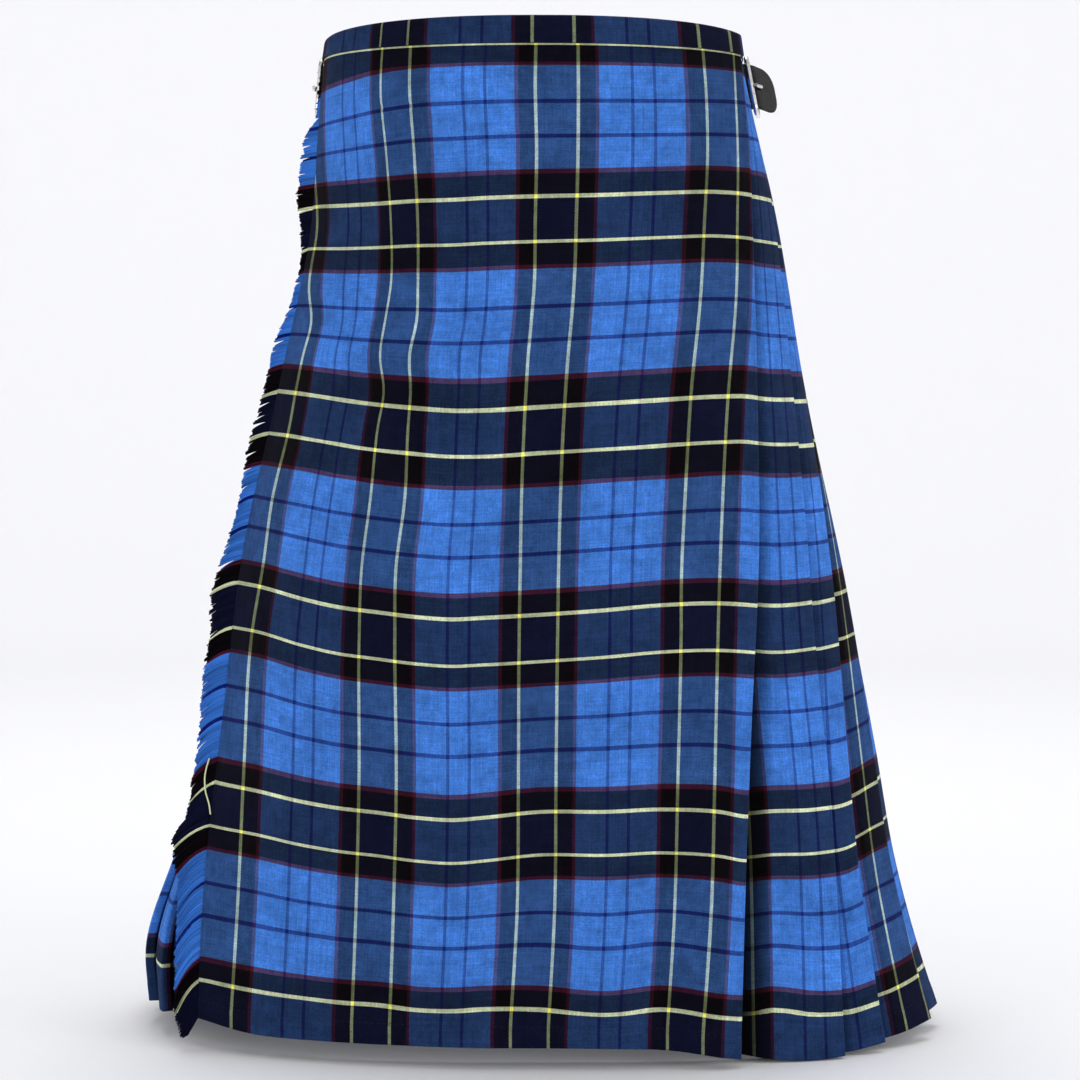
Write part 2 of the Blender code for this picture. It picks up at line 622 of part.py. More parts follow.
def buckle(side, hip, end_bar, tilt, strap, sewn_on):
    """The buckle at one hip, its prong and the chape that is sewn to the pleats.

    end_bar is the place, along and out, of the bar under the prong's tip. From there the frame
    runs along to its hinge bar, tilted out. The chape is folded round the hinge bar and lies
    on the pleats at the places sewn_on. The prong goes through a hole in the strap."""
    run = BUCKLE_LENGTH - 2 * BUCKLE_WIRE
    frame_along = np.array([math.cos(tilt), math.sin(tilt)])
    frame_out = np.array([-math.sin(tilt), math.cos(tilt)])
    end_bar = np.array(end_bar)
    half_run, half_rise = run / 2 - BUCKLE_CORNER, BUCKLE_HEIGHT / 2 - BUCKLE_WIRE - BUCKLE_CORNER
    ring = []
    for quarter in range(4):
        for step in range(4):
            angle = math.pi / 2 * (quarter + step / 3)
            centre = half_run * (1 if quarter in (0, 3) else -1)
            rise = half_rise * (1 if quarter in (0, 1) else -1)
            at = end_bar + frame_along * (run / 2 + centre + BUCKLE_CORNER * math.cos(angle))
            ring.append(hip.world(*at, rise + BUCKLE_CORNER * math.sin(angle)))
    wire(side + "_hip_buckle", ring, BUCKLE_WIRE, True)

    hinge = end_bar + frame_along * run
    loop = BUCKLE_WIRE + SEAM_GAP + CHAPE_LEATHER / 2
    under = np.array(sewn_on[-1])
    away = (under - hinge) / np.linalg.norm(under - hinge)
    beside = np.array([-away[1], away[0]])
    turn = [hinge + loop * (math.cos(a) * -away + math.sin(a) * beside)
            for a in np.linspace(-math.pi / 2, math.pi / 2, 7)]
    lies = under - away * 0.002 + beside * (CHAPE_LEATHER + SEAM_GAP + 0.0003)
    chape = [np.array(place) for place in sewn_on] + turn + [lies]
    ribbon(side + "_hip_chape", hip, np.array(chape), np.full(len(chape), CHAPE_WIDTH / 2),
           CHAPE_LEATHER)

    tip = BUCKLE_WIRE + PRONG_WIRE + SEAM_GAP
    bend = loop + CHAPE_LEATHER / 2 + SEAM_GAP + PRONG_WIRE
    prong = [hinge - frame_along * bend, hinge - frame_along * (bend + 0.003) + frame_out * 0.001,
             end_bar + frame_along * PRONG_HUMP + frame_out * PRONG_RISE,
             end_bar + frame_along * 0.004 + frame_out * (tip + 0.0004),
             end_bar - frame_along * PRONG_TIP + frame_out * tip]
    wire(side + "_hip_prong", [hip.world(*place, 0.0) for place in prong], PRONG_WIRE, False)
    way = (prong[2] - prong[1]) / np.linalg.norm(prong[2] - prong[1])
    middle = hip.world(*((prong[1] + prong[2]) / 2), 0.0)
    axis = (hip.along * way[0] + hip.out * way[1]).normalized()
    across = hip.up.cross(axis).normalized()
    bar = cutter(side + "_prong_hole", axes_at(middle, across, axis.cross(across), axis),
                 (HOLE, HOLE, 0.014), round_bar=True)
    cut_away(strap, bar)


# ---------------------------------------------------------------- build
for old in list(bpy.data.objects):
    bpy.data.objects.remove(old)
PARTS = bpy.data.collections.new("scottish_kilt")
CUTTERS = bpy.data.collections.new("cutters")
bpy.context.scene.collection.children.link(PARTS)
bpy.context.scene.collection.children.link(CUTTERS)

TARTAN = material("tartan_wool", (0.05, 0.19, 0.62), 0.85)
BLACK_LEATHER = material("black_leather", (0.012, 0.012, 0.013), 0.45)
NICKEL = material("nickel", (0.62, 0.62, 0.60), 0.28, 1.0)
LINES = {z: BodyLine(z) for z in ROW_Z}

cloth("over_apron", over_apron_path)
cloth("under_apron", under_apron_path)
PLEAT_GROUPS = (("left_hip_pleats", 1, 7), ("back_pleats_left", 8, 13),
                ("back_pleats_right", 14, 19), ("right_hip_pleats", 20, 25))
pleats = {name: cloth(name, lambda line, a=first, b=last: pleat_path(line, a, b))
          for name, first, last in PLEAT_GROUPS}
waistband()
fringe()

# The wearer's left hip: the under apron's strap comes out through a slit in the pleats.
line = BodyLine(STRAP_Z)
hip = Hip(line.right_side + HIP_PAST_SIDE, 1)
lean_turn = axes_at(hip.origin, hip.along, hip.out, hip.along.cross(hip.out))
cut_away(pleats["left_hip_pleats"],
         cutter("slit_cutter", lean_turn, (SLIT_WIDTH, SLIT_DEPTH, SLIT_HEIGHT)))
inside = -UNDER_STAND_IN[0] - CLOTH / 2 - LEATHER / 2 - 3 * SEAM_GAP
path = rounded_path([hip.round_the_body(-0.036, inside), hip.round_the_body(-0.020, inside),
                     (-0.0075, inside), *LEFT_STRAP])
strap = ribbon("left_hip_strap", hip, path, tongue_widths(path), LEATHER)
buckle("left", hip, LEFT_END_BAR, LEFT_TILT, strap,
       [hip.round_the_body(at, CHAPE_OUT) for at in LEFT_SEWN])

# The wearer's right hip: the over apron's strap is sewn under its fringed edge.
hip = Hip(apron_edge(line, "fringed_x"), -1)
inside = PLEAT_HEIGHTS["fold_face"][0] + CLOTH / 2 + LEATHER / 2 - 0.0001
path = rounded_path([hip.round_the_body(at, inside) for at in (-0.008, -0.005)]
                    + list(RIGHT_STRAP))
strap = ribbon("right_hip_strap", hip, path, tongue_widths(path), LEATHER)
buckle("right", hip, RIGHT_END_BAR, RIGHT_TILT, strap,
       [hip.round_the_body(at, CHAPE_OUT) for at in RIGHT_SEWN])
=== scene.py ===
import math

import bpy
import numpy as np
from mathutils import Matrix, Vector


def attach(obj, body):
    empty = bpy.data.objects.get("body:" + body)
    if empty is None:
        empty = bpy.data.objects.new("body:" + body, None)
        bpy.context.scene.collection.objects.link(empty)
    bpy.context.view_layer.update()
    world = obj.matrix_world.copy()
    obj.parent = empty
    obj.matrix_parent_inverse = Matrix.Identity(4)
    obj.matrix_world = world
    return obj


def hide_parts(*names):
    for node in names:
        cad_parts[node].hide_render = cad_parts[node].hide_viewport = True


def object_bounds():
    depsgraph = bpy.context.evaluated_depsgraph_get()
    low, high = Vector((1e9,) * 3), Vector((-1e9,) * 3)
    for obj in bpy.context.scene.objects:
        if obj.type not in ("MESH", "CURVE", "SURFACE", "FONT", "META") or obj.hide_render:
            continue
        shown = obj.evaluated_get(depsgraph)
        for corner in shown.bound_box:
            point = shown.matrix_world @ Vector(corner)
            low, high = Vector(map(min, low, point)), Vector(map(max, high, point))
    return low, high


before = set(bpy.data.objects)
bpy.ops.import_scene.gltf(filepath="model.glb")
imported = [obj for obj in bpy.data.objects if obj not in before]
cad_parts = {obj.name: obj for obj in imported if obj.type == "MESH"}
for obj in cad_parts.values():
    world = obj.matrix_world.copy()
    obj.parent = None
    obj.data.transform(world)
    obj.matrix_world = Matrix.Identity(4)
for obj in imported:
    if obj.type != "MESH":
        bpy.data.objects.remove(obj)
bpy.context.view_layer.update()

# ------------------------------------------------------------------ where the kilt is seen from
# A long lens, straight in front of the kilt and a little under half its height, looking
# slightly down, so that the waist's and the hem's curves both show.
VIEW_POINT = (0.0024, -1.910, -0.2104)
VIEW_DOWN = math.radians(2.63)
VIEW_LENS = 101.7

view = bpy.data.objects.new("view", bpy.data.cameras.new("view"))
view.data.lens = VIEW_LENS
view.data.sensor_width = 36.0
view.location = VIEW_POINT
view.rotation_euler = (math.pi / 2 - VIEW_DOWN, 0.0, 0.0)
bpy.context.scene.collection.objects.link(view)
bpy.context.scene.camera = view

# ------------------------------------------------------------------ the wearer's line
# The kilt is one length of wool, 1.2 mm thick, wrapped round the waist over hips that nobody
# sees. Each level has its own outline, and every cloth piece is laid out along that outline.
HEM_Z = -0.594
SEAM_GAP = 0.0003
LEVELS = np.array((     # z, reach to the left, right, front and back, the sides' y, n, shear
    (0.020, 0.1215, 0.1210, 0.0915, 0.0940, 0.000, 2.20, 0.00),
    (0.000, 0.1235, 0.1240, 0.0920, 0.0960, 0.000, 2.20, 0.00),
    (-0.100, 0.1325, 0.1465, 0.0960, 0.1130, 0.004, 2.20, 0.00),
    (-0.200, 0.1530, 0.1640, 0.0990, 0.1330, 0.012, 2.20, -0.01),
    (-0.350, 0.1850, 0.1940, 0.1000, 0.1520, 0.026, 2.30, -0.03),
    (-0.430, 0.1985, 0.2075, 0.1010, 0.1620, 0.033, 2.35, -0.04),
    (-0.500, 0.2225, 0.2185, 0.1015, 0.1710, 0.039, 2.40, -0.05),
    (-0.560, 0.2410, 0.2335, 0.1015, 0.1780, 0.043, 2.45, -0.05),
    (-0.594, 0.2380, 0.2440, 0.1015, 0.1820, 0.045, 2.45, -0.05),
))
CORNER_DROP, CORNER_X, CORNER_WIDTH = 0.0130, 0.165, 0.062     # lower hem at the folded edge
FRINGE_LIFT, FRINGE_X, FRINGE_WIDTH = 0.0055, -0.212, 0.028    # higher hem at the fringed edge
DROP_FADE = 0.045               # both fade out over this much of y towards the sides
LINE_STEPS = 1440
ROWS = 124
ROW_Z = np.concatenate(([-SEAM_GAP], np.linspace(-0.004, HEM_Z, ROWS - 1)))


def cubic(u, step, starts, ends, leaves, arrives):
    """A cubic between two values, with a slope at each, at the share u of the step."""
    return ((2 * u**3 - 3 * u**2 + 1) * starts + (u**3 - 2 * u**2 + u) * step * leaves
            + (3 * u**2 - 2 * u**3) * ends + (u**3 - u**2) * step * arrives)


def eased(z, heights, values):
    """A cubic through each pair of a table's values, with a slope at each value taken from its
    two neighbours, so that the curve is smooth from level to level."""
    heights, values = np.asarray(heights, float)[::-1], np.asarray(values, float)[::-1]
    slopes = np.gradient(values, heights)
    z = np.clip(z, heights[0], heights[-1])
    i = np.clip(np.searchsorted(heights, z) - 1, 0, len(heights) - 2)
    step = heights[i + 1] - heights[i]
    return cubic((z - heights[i]) / step, step, values[i], values[i + 1], slopes[i],
                 slopes[i + 1])


def lengths(path):
    """How far along a path each of its points lies."""
    return np.concatenate(([0.0], np.cumsum(np.linalg.norm(np.diff(path, axis=0), axis=1))))


def hem_drop(x, y, z):
    """How far the cloth hangs lower round the folded edge's corner and higher by the fringed
    one: two bells across the front, times the second and fourth power of the way down."""
    down = np.clip(z / HEM_Z, 0.0, 1.0)
    low = CORNER_DROP * down**2 * np.exp(-((x - CORNER_X) / CORNER_WIDTH) ** 2)
    high = FRINGE_LIFT * down**4 * np.exp(-((x - FRINGE_X) / FRINGE_WIDTH) ** 2)
    return (high - low) * np.clip(-y / DROP_FADE, 0.0, 1.0)


class BodyLine:
    """One level's outline: a superellipse x = a sign(c)|c|^(2/n), y = b sign(s)|s|^(2/n) with its
    own reach to each side, sheared a little, and measured by the length run from the viewer's
    left over the front to the right and round the back."""

    def __init__(self, z):
        left, right, front, back, side_y, square, shear = (
            float(eased(z, LEVELS[:, 0], LEVELS[:, k])) for k in range(1, 8))
        angle = math.pi + np.linspace(0.0, 2.0 * math.pi, LINE_STEPS + 1)
        c, s = np.cos(angle), np.sin(angle)
        across = np.where(c < 0, left, right)
        along = np.where(s < 0, front + side_y, back - side_y)
        self.x = across * np.sign(c) * np.abs(c) ** (2.0 / square)
        self.y = side_y + along * np.sign(s) * np.abs(s) ** (2.0 / square) + shear * self.x
        self.run = lengths(np.column_stack((self.x, self.y)))
        self.length = self.run[-1]
        tx, ty = np.gradient(self.x, self.run), np.gradient(self.y, self.run)
        self.nx, self.ny = ty / np.hypot(tx, ty), -tx / np.hypot(tx, ty)
        self.nx[-1], self.ny[-1] = self.nx[0], self.ny[0] = -1.0, 0.0
        self.right_side = self.run[np.argmax(self.x)]
        self.z = z
        self.down = min(1.0, max(0.0, z / HEM_Z))

    def place(self, run, out):
        """Points at these lengths round the line, moved straight out from it."""
        at = np.mod(run, self.length)
        x, y, nx, ny = (np.interp(at, self.run, way) for way in (self.x, self.y, self.nx, self.ny))
        size = np.hypot(nx, ny)
        x, y = x + nx / size * out, y + ny / size * out
        return np.stack([x, y, self.z + hem_drop(x, y, self.z)], axis=-1)

    def run_at_x(self, x, out):
        """The length round the line where its front, moved out, crosses this x."""
        front = self.run <= self.right_side
        moved = np.maximum.accumulate(self.x[front] + self.nx[front] * out)
        return float(np.interp(x, moved, self.run[front]))


LINES = [BodyLine(z) for z in ROW_Z]

# ------------------------------------------------------------------ the tartan
# The cloth is worsted wool in a two-over-two twill, so the yarns cross in fine diagonals. The
# stripes are counted in steps of 0.6 mm: the same order of colours runs across and down.
STEP = 0.000598
ACROSS_REPEAT, DOWN_REPEAT = 158.0, 202.0
YARN = 0.00045                         # from one yarn to the next
YARN_COLOURS = {                       # colour, and how strongly it shows where it crosses
    "blue": ((0.040, 0.167, 0.590), 0.31),
    "line": ((0.004, 0.013, 0.160), 0.50),
    "red": ((0.054, 0.006, 0.018), 0.58),
    "black": ((0.002, 0.001, 0.002), 0.65),
    "yellow": ((0.600, 0.700, 0.330), 0.42),
    "cream": ((0.600, 0.650, 0.400), 0.69),
    "navy": ((0.003, 0.004, 0.019), 0.59),
}
TWILL_CONTRAST = 0.09                  # how much more of the yarn on top is seen
WEFT_PROUD = 0.08                      # the weft lies a little proud of the warp
HALO = (0.013, 0.020, 0.018, 1.0)      # the blue nap's scattered light among darker yarns
HALO_GAIN = 6.0                        # times the weft's share, the warp's share and the blue
CROSSING = (0.93, 0.84, 0.10, 1.0)     # where a yellow stripe crosses a cream row
CROSSING_LEVEL = 0.4                   # only these two multiply to more than this
SLUB, SLUB_CHANGE = 0.014, 0.24        # a yarn's shade changes by so much at this length
PATCHES = ((900.0, 2.0, 0.85), (150.0, 3.0, 0.80), (26.0, 3.0, 0.90))    # waves, detail, change
PAINTED_SHADE_POWER = 2.4                        # how strongly the painted shade darkens cloth deep in a fold
WIDE_CRUMPLES, CRUMPLES, WIDE_SHARE = 11.0, 38.0, 3.2    # waves a metre, and the wide ones' part
YARN_RELIEF, CRUMPLE_DEPTH = 0.07, 0.0024                # a yarn's share of the crumples' depth
WOOL = {"roughness": 0.92, "sheen": 0.015, "shine": 0.04}
ACROSS_BANDS = ((0, "blue"), (29.6, "line"), (32.6, "blue"), (50.6, "line"), (53.6, "blue"),
                (80, "red"), (83.5, "black"), (98.5, "yellow"), (101.5, "navy"),
                (136.5, "yellow"), (139.5, "black"), (154.5, "red"))
DOWN_BANDS = ((0, "red"), (4, "black"), (24.4, "cream"), (27.7, "navy"), (70.4, "cream"),
              (73.7, "black"), (94, "red"), (98, "blue"), (133, "line"), (137, "blue"),
              (166, "line"), (170, "blue"))


def feed(tree, socket, source):
    """Feeds a node's input from another node's output, or sets it to a number or colour."""
    if isinstance(source, bpy.types.NodeSocket):
        tree.links.new(source, socket)
    elif source is not None:
        socket.default_value = source


def join(tree, kind, *sources, **settings):
    """Adds one node with these settings and feeds its inputs in order. Gives the node's first
    output."""
    node = tree.nodes.new(kind)
    for name, value in settings.items():
        setattr(node, name, value)
    for socket, source in zip(node.inputs, sources):
        feed(tree, socket, source)
    return node.outputs[0]


def sums(tree, operation, *sources):
    """One Math node."""
    return join(tree, "ShaderNodeMath", *sources, operation=operation)


def grain(tree, where, scale, detail=3.0, roughness=0.55):
    """A noise of this many waves a metre, as a number round one half."""
    return join(tree, "ShaderNodeTexNoise", where, None, scale, detail, roughness)


def ramp(tree, along, stops, smooth=False):
    """A colour ramp with these (place, colour, alpha) stops, stepped or smooth."""
    node = join(tree, "ShaderNodeValToRGB", along).node
    node.color_ramp.interpolation = "LINEAR" if smooth else "CONSTANT"
    elements = node.color_ramp.elements
    elements.remove(elements[1])
    for k, (place, colour, alpha) in enumerate(stops):
        element = elements.new(place) if k else elements[0]
        element.position = place
        element.color = (*colour, alpha)
    return node.outputs[0], node.outputs[1]


def bands(tree, along, repeat, table):
    """The yarn at this place: the fraction of along / repeat, looked up in the bands."""
    share = sums(tree, "FRACT", sums(tree, "DIVIDE", along, repeat * STEP))
    return ramp(tree, share, [(at / repeat, *YARN_COLOURS[name]) for at, name in table])


def blend(tree, share, first, second, how="MIX"):
    """One Mix Color node: first, and the share of second over it."""
    node = join(tree, "ShaderNodeMix", share, data_type="RGBA", blend_type=how).node
    feed(tree, node.inputs[6], first)
    feed(tree, node.inputs[7], second)
    return node.outputs[2]


def surface(name, roughness, sheen=0.0, metallic=0.0, shine=0.5):
    """A new material's tree and its shader, with the numbers that are the same all over."""
    made = bpy.data.materials.new(name)
    made.use_nodes = True
    shader = made.node_tree.nodes["Principled BSDF"]
    for socket, value in (("Roughness", roughness), ("Metallic", metallic),
                          ("Sheen Weight", sheen), ("Sheen Roughness", 0.45),
                          ("Specular IOR Level", shine)):
        shader.inputs[socket].default_value = value
    return made, made.node_tree, shader


def two_tones(tree, shader, along, low, high):
    """The surface's colour, smoothly between two (place, colour) stops."""
    colour, _ = ramp(tree, along, ((*low, 1.0), (*high, 1.0)), smooth=True)
    feed(tree, shader.inputs["Base Color"], colour)


def on_body(tree):
    """The point's own place on the kilt, in metres."""
    return join(tree, "ShaderNodeTexCoord").node.outputs["Object"]


def on_cloth(tree):
    """How far across and down the cloth the point lies."""
    place = join(tree, "ShaderNodeSeparateXYZ", join(tree, "ShaderNodeUVMap", uv_map="cloth"))
    return place.node.outputs[0], place.node.outputs[1]


def bump(tree, shader, height, distance, strength=1.0):
    """Raises the surface by height times distance."""
    node = join(tree, "ShaderNodeBump", strength, distance).node
    feed(tree, node.inputs["Height"], height)
    feed(tree, shader.inputs["Normal"], node.outputs[0])


def slubs(tree, yarn, along):
    """Each yarn is a little lighter or darker, anew at every slub's length along it."""
    stretch = sums(tree, "FLOOR", sums(tree, "DIVIDE", along, SLUB))
    shade = join(tree, "ShaderNodeTexWhiteNoise",
                 join(tree, "ShaderNodeCombineXYZ", yarn, stretch), noise_dimensions="2D")
    return sums(tree, "MULTIPLY_ADD", shade, SLUB_CHANGE, 1.0 - SLUB_CHANGE / 2)


def tartan(name):
    """Wool tartan. Yarn i of the warp and j of the weft are counted along the cloth's own
    across and down; the weft is on top where the fraction of (i + j) / 4 is under its share. A
    little of the yarn below shows through, and each yarn's shade differs slightly. Cloth deep
    in a fold has painted shade: its colour is darkened by a power of its painted light value."""
    made, tree, shader = surface(name, **WOOL)
    across, down = on_cloth(tree)
    warp, warp_keeps = bands(tree, across, ACROSS_REPEAT, ACROSS_BANDS)
    weft, weft_keeps = bands(tree, down, DOWN_REPEAT, DOWN_BANDS)
    i, j = (sums(tree, "FLOOR", sums(tree, "DIVIDE", way, YARN)) for way in (across, down))
    step = sums(tree, "FRACT", sums(tree, "MULTIPLY", sums(tree, "ADD", i, j), 1 / 4))
    weft_share = sums(tree, "ADD", 0.5 + WEFT_PROUD,
                      sums(tree, "SUBTRACT", weft_keeps, warp_keeps))
    weft_up = sums(tree, "LESS_THAN", step, weft_share)
    shown = sums(tree, "MULTIPLY_ADD", sums(tree, "SUBTRACT", weft_up, weft_share),
                 TWILL_CONTRAST, weft_share)
    lighter = join(tree, "ShaderNodeSeparateColor", blend(tree, 1.0, warp, weft, "LIGHTEN")).node
    mixed = sums(tree, "MULTIPLY", sums(tree, "MULTIPLY", weft_share, HALO_GAIN),
                 sums(tree, "SUBTRACT", 1.0, weft_share))
    colour = blend(tree, sums(tree, "MULTIPLY", mixed, lighter.outputs[2]),
                   blend(tree, shown, warp, weft), HALO, "ADD")
    crossing = blend(tree, 1.0, warp, weft, "MULTIPLY")
    colour = blend(tree, sums(tree, "GREATER_THAN", crossing, CROSSING_LEVEL), colour, CROSSING)
    level = sums(tree, "MULTIPLY", slubs(tree, i, down), slubs(tree, j, across))
    body = on_body(tree)
    patches = [grain(tree, body, scale, detail) for scale, detail, _ in PATCHES]
    for patch, (_, _, change) in zip(patches, PATCHES):
        level = sums(tree, "MULTIPLY", level,
                     sums(tree, "MULTIPLY_ADD", patch, change, 1.0 - change / 2))
    # painted shade: the colour is darkened by a power of the painted light value
    deep = join(tree, "ShaderNodeAttribute", attribute_name="painted_light").node.outputs["Fac"]
    level = sums(tree, "MULTIPLY", level, sums(tree, "POWER", deep, PAINTED_SHADE_POWER))
    grey = join(tree, "ShaderNodeCombineColor", level, level, level)
    feed(tree, shader.inputs["Base Color"], blend(tree, 1.0, colour, grey, "MULTIPLY"))
    ridges = [sums(tree, "ABSOLUTE", sums(tree, "SINE", sums(tree, "MULTIPLY", way,
                                                            math.pi / YARN)))
              for way in (across, down)]
    ridge = join(tree, "ShaderNodeMix", weft_up, None, *ridges)
    crumple = sums(tree, "MULTIPLY_ADD", grain(tree, body, WIDE_CRUMPLES, 2.0), WIDE_SHARE,
                   grain(tree, body, CRUMPLES, 3.0, 0.5))
    height = sums(tree, "ADD", sums(tree, "MULTIPLY", ridge, YARN_RELIEF),
                  sums(tree, "ADD", sums(tree, "MULTIPLY", patches[0], YARN_RELIEF), crumple))
    bump(tree, shader, height, CRUMPLE_DEPTH, 0.9)
    return made


TARTAN = tartan("tartan_wool")

# ------------------------------------------------------------------ over apron
# The plain front panel, on top of everything. Its edge at the wearer's right is fringed, its
# edge at the wearer's left is folded under, and its hem is turned up and stitched. It is drawn
# from where the yellow stripes and rows lie as seen from straight in front.
CLOTH = 0.0012
APRON_COLUMNS = ("z", "fringed_x", "folded_x", "under_reach")
APRON_EDGES = np.array((
    (0.020, -0.1290, 0.1230, 0.012),
    (0.000, -0.1325, 0.1245, 0.012),
    (-0.050, -0.1345, 0.1290, 0.020),
    (-0.100, -0.1375, 0.1305, 0.030),
    (-0.200, -0.1580, 0.1330, 0.055),
    (-0.300, -0.1810, 0.1335, 0.070),
    (-0.400, -0.1930, 0.1285, 0.085),
    (-0.470, -0.2005, 0.1255, 0.095),
    (-0.594, -0.2070, 0.1215, 0.110),
))
OVER_STAND_OFF = (0.0074, 0.0165)       # at the waist and at the hem, as in every pair
OVER_RETURN_PITCH = (0.0020, 0.0060)
OVER_UNDERFOLD = (0.012, 0.045)
OVER_COLUMNS = 170
FOLD_FLAT = 0.012                       # the hanging folds fade out this near the folded edge
OVER_ROUNDING = 0.0022
SOFT_FOLDS = (           # x at the top and low end, their heights, half width, depth
    (-0.088, -0.080, -0.08, -0.30, 0.016, 0.0040),
    (-0.060, -0.062, -0.10, -0.28, 0.014, -0.0030),
    (-0.115, -0.130, -0.30, -0.62, 0.020, -0.0022),
    (-0.020, -0.040, -0.28, -0.64, 0.030, 0.0050),
    (0.070, 0.078, -0.40, -0.64, 0.018, -0.0045),
    (0.105, 0.112, -0.42, -0.66, 0.016, 0.0040),
)
STRIPE_STEPS = (-178, -58, -20, 100, 138, 258, 296)     # the yellow stripes, in steps
STRIPE_X = 0.0001 * np.array((      # height, then x of each yellow stripe on the plane
    (60, -1272, -892, -733, 1, 244, 969, 1150),
    (-230, -1290, -909, -742, -5, 246, 993, 1165),
    (-640, -1297, -876, -716, 3, 244, 1005, 1180),
    (-1050, -1280, -850, -696, -5, 234, 987, 1178),
    (-1430, -1330, -852, -697, -11, 221, 970, 1175),
    (-1630, -1317, -885, -704, -27, 206, 954, 1164),
    (-1840, -1368, -915, -747, -46, 187, 932, 1146),
    (-2050, -1410, -893, -742, -59, 172, 912, 1129),
    (-2280, -1451, -931, -757, -71, 158, 898, 1115),
    (-2690, -1548, -974, -775, -86, 142, 877, 1097),
    (-3110, -1607, -1028, -828, -93, 131, 858, 1082),
    (-3520, -1674, -1043, -835, -100, 125, 856, 1071),
    (-4350, -1727, -1046, -828, -105, 116, 840, 1055),
    (-5100, -1765, -1065, -846, -112, 109, 824, 1037),
    (-5820, -1810, -1095, -872, -153, 71, 781, 991),
))
STRIPE_PLANE = -0.112               # this plane of y
SEEN_STEP = 0.00056         # a step of the tartan as seen out by the fringed edge
ROW_STEPS = (2, 26, 72, 96, 135, 168)       # red, cream, cream, red, dark line, dark line
ROW_HEIGHTS = 0.0001 * np.array((           # at the middle of the front, repeat by repeat
    (330, 250, -2, -121, -349, -553),
    (-757, -903, -1166, -1313, -1547, -1741),
    (-1958, -2134, -2399, -2594, -2812, -3007),
    (-3237, -3373, -3652, -3794, -4008, -4204),
    (-4454, -4590, -4847, -4978, -5175, -5354),
    (-5606, -5725, -6070, -6190, -6350, -6540),
))
RISE_X = np.array((-0.200, -0.170, -0.140, -0.120, -0.095, -0.070, -0.050, -0.030, 0.000,
                   0.040, 0.075, 0.110, 0.125, 0.140, 0.170, 0.190, 0.207, 0.240))
RISE_Z = np.array((0.010, -0.0014, -0.0225, -0.100, -0.2265, -0.351, -0.472, -0.5725, -0.600))
ROW_RISE = 0.001 * np.array((      # how much higher the rows lie at each x, level by level
    (0,) * 18,
    (0,) * 18,
    (-10, -10, -9, -7, -3, -0.5, 0, 0.5, 0.8, 1.2, 2, 4, 5, 6, 6, 6, 6, 6),
    (0, 0, -1.3, -2.7, -3, -2.1, -1.9, -1, -0.1, 0.9, 2.7, 4.4, 4, 2.8, 2.8, 3, 4, 5),
    (12, 10, 7, 3.8, 0.4, -2, -3.3, -3.2, -1.5, 1, 3, 5.1, 5.3, 3.5, 3.6, 4.4, 6, 8),
    (14.5, 13.6, 7.2, 3.5, 1, -1.5, -2.4, -1.2, 0.5, 3.2, 6.1, 6.4, 5.2, 3.5, 4.4, 7, 10, 12),
    (12.8, 11.3, 7.2, 4.9, 3.5, 1.2, 0.7, 2.8, 6, 5.8, 6.4, 4.4, 1, 1.9, 1.3, 3, 9, 12),
    (8.8, 6.3, 4.3, 3, 2.6, 0.8, 1, 2.4, 2.2, -0.8, 1.3, -3, -5, -2.9, -6.8, -7.1, -3.5, 4),
    (7, 5, 4, 3, 2, 1, 1, 2, 2, 0, 1, -2, -5, -4, -7, -7, -4, 3),
))


def mix(pair, share):
    """Between the two values of a pair: the first plus the share of their difference."""
    return pair[0] + (pair[1] - pair[0]) * share


def smooth(t):
    """From 0 to 1 by 3t^2 - 2t^3."""
    return t**2 * (3.0 - 2.0 * t)


def rows_down(z, x):
    """How far down the cloth a point lies, in metres of its own pattern. The rows' heights are
    raised by the table, eased across and shared out from level to level by 3t^2 - 2t^3."""
    heights = ROW_HEIGHTS.ravel()[::-1]
    steps = np.add.outer(DOWN_REPEAT * np.arange(len(ROW_HEIGHTS)), ROW_STEPS).ravel()[::-1]
    levels = np.array([eased(np.clip(x, RISE_X[0], RISE_X[-1]), RISE_X[::-1], level[::-1])
                       for level in ROW_RISE])
    k = np.clip(np.searchsorted(-RISE_Z, -z) - 1, 0, len(RISE_Z) - 2)
    t = np.clip((z - RISE_Z[k]) / (RISE_Z[k + 1] - RISE_Z[k]), 0.0, 1.0)
    point = np.arange(len(x))
    rise = levels[k, point] * (1.0 - smooth(t)) + levels[k + 1, point] * smooth(t)
    return np.interp(z - rise, heights, steps) * STEP


def stripes_across(line, points, run):
    """How far across the cloth each point lies. Between two stripes, and out to the fringed
    edge, it is shared out by x as seen from the front; past the last it runs with the cloth."""
    ahead = (STRIPE_PLANE - VIEW_POINT[1]) / (points[:, 1] - VIEW_POINT[1])
    seen = VIEW_POINT[0] + (points[:, 0] - VIEW_POINT[0]) * ahead
    seen = np.maximum.accumulate(seen + 1e-6 * np.arange(len(seen)))
    stripes = [float(eased(line.z, STRIPE_X[:, 0], column)) for column in STRIPE_X.T[1:]]
    steps = np.interp(seen, stripes, STRIPE_STEPS)
    last = np.interp(stripes[-1], seen, run)
    steps = np.where(seen < stripes[0], STRIPE_STEPS[0] + (seen - stripes[0]) / SEEN_STEP, steps)
    return np.where(run > last, STRIPE_STEPS[-1] + (run - last) / STEP, steps) * STEP


def apron_at(z, column):
    """One of the aprons' edges at this height."""
    return float(eased(z, APRON_EDGES[:, 0], APRON_EDGES[:, APRON_COLUMNS.index(column)]))


def apron_edge(line, column):
    """Length round the line of the over apron's fringed or folded edge on this level."""
    return line.run_at_x(apron_at(line.z, column), mix(OVER_STAND_OFF, line.down))


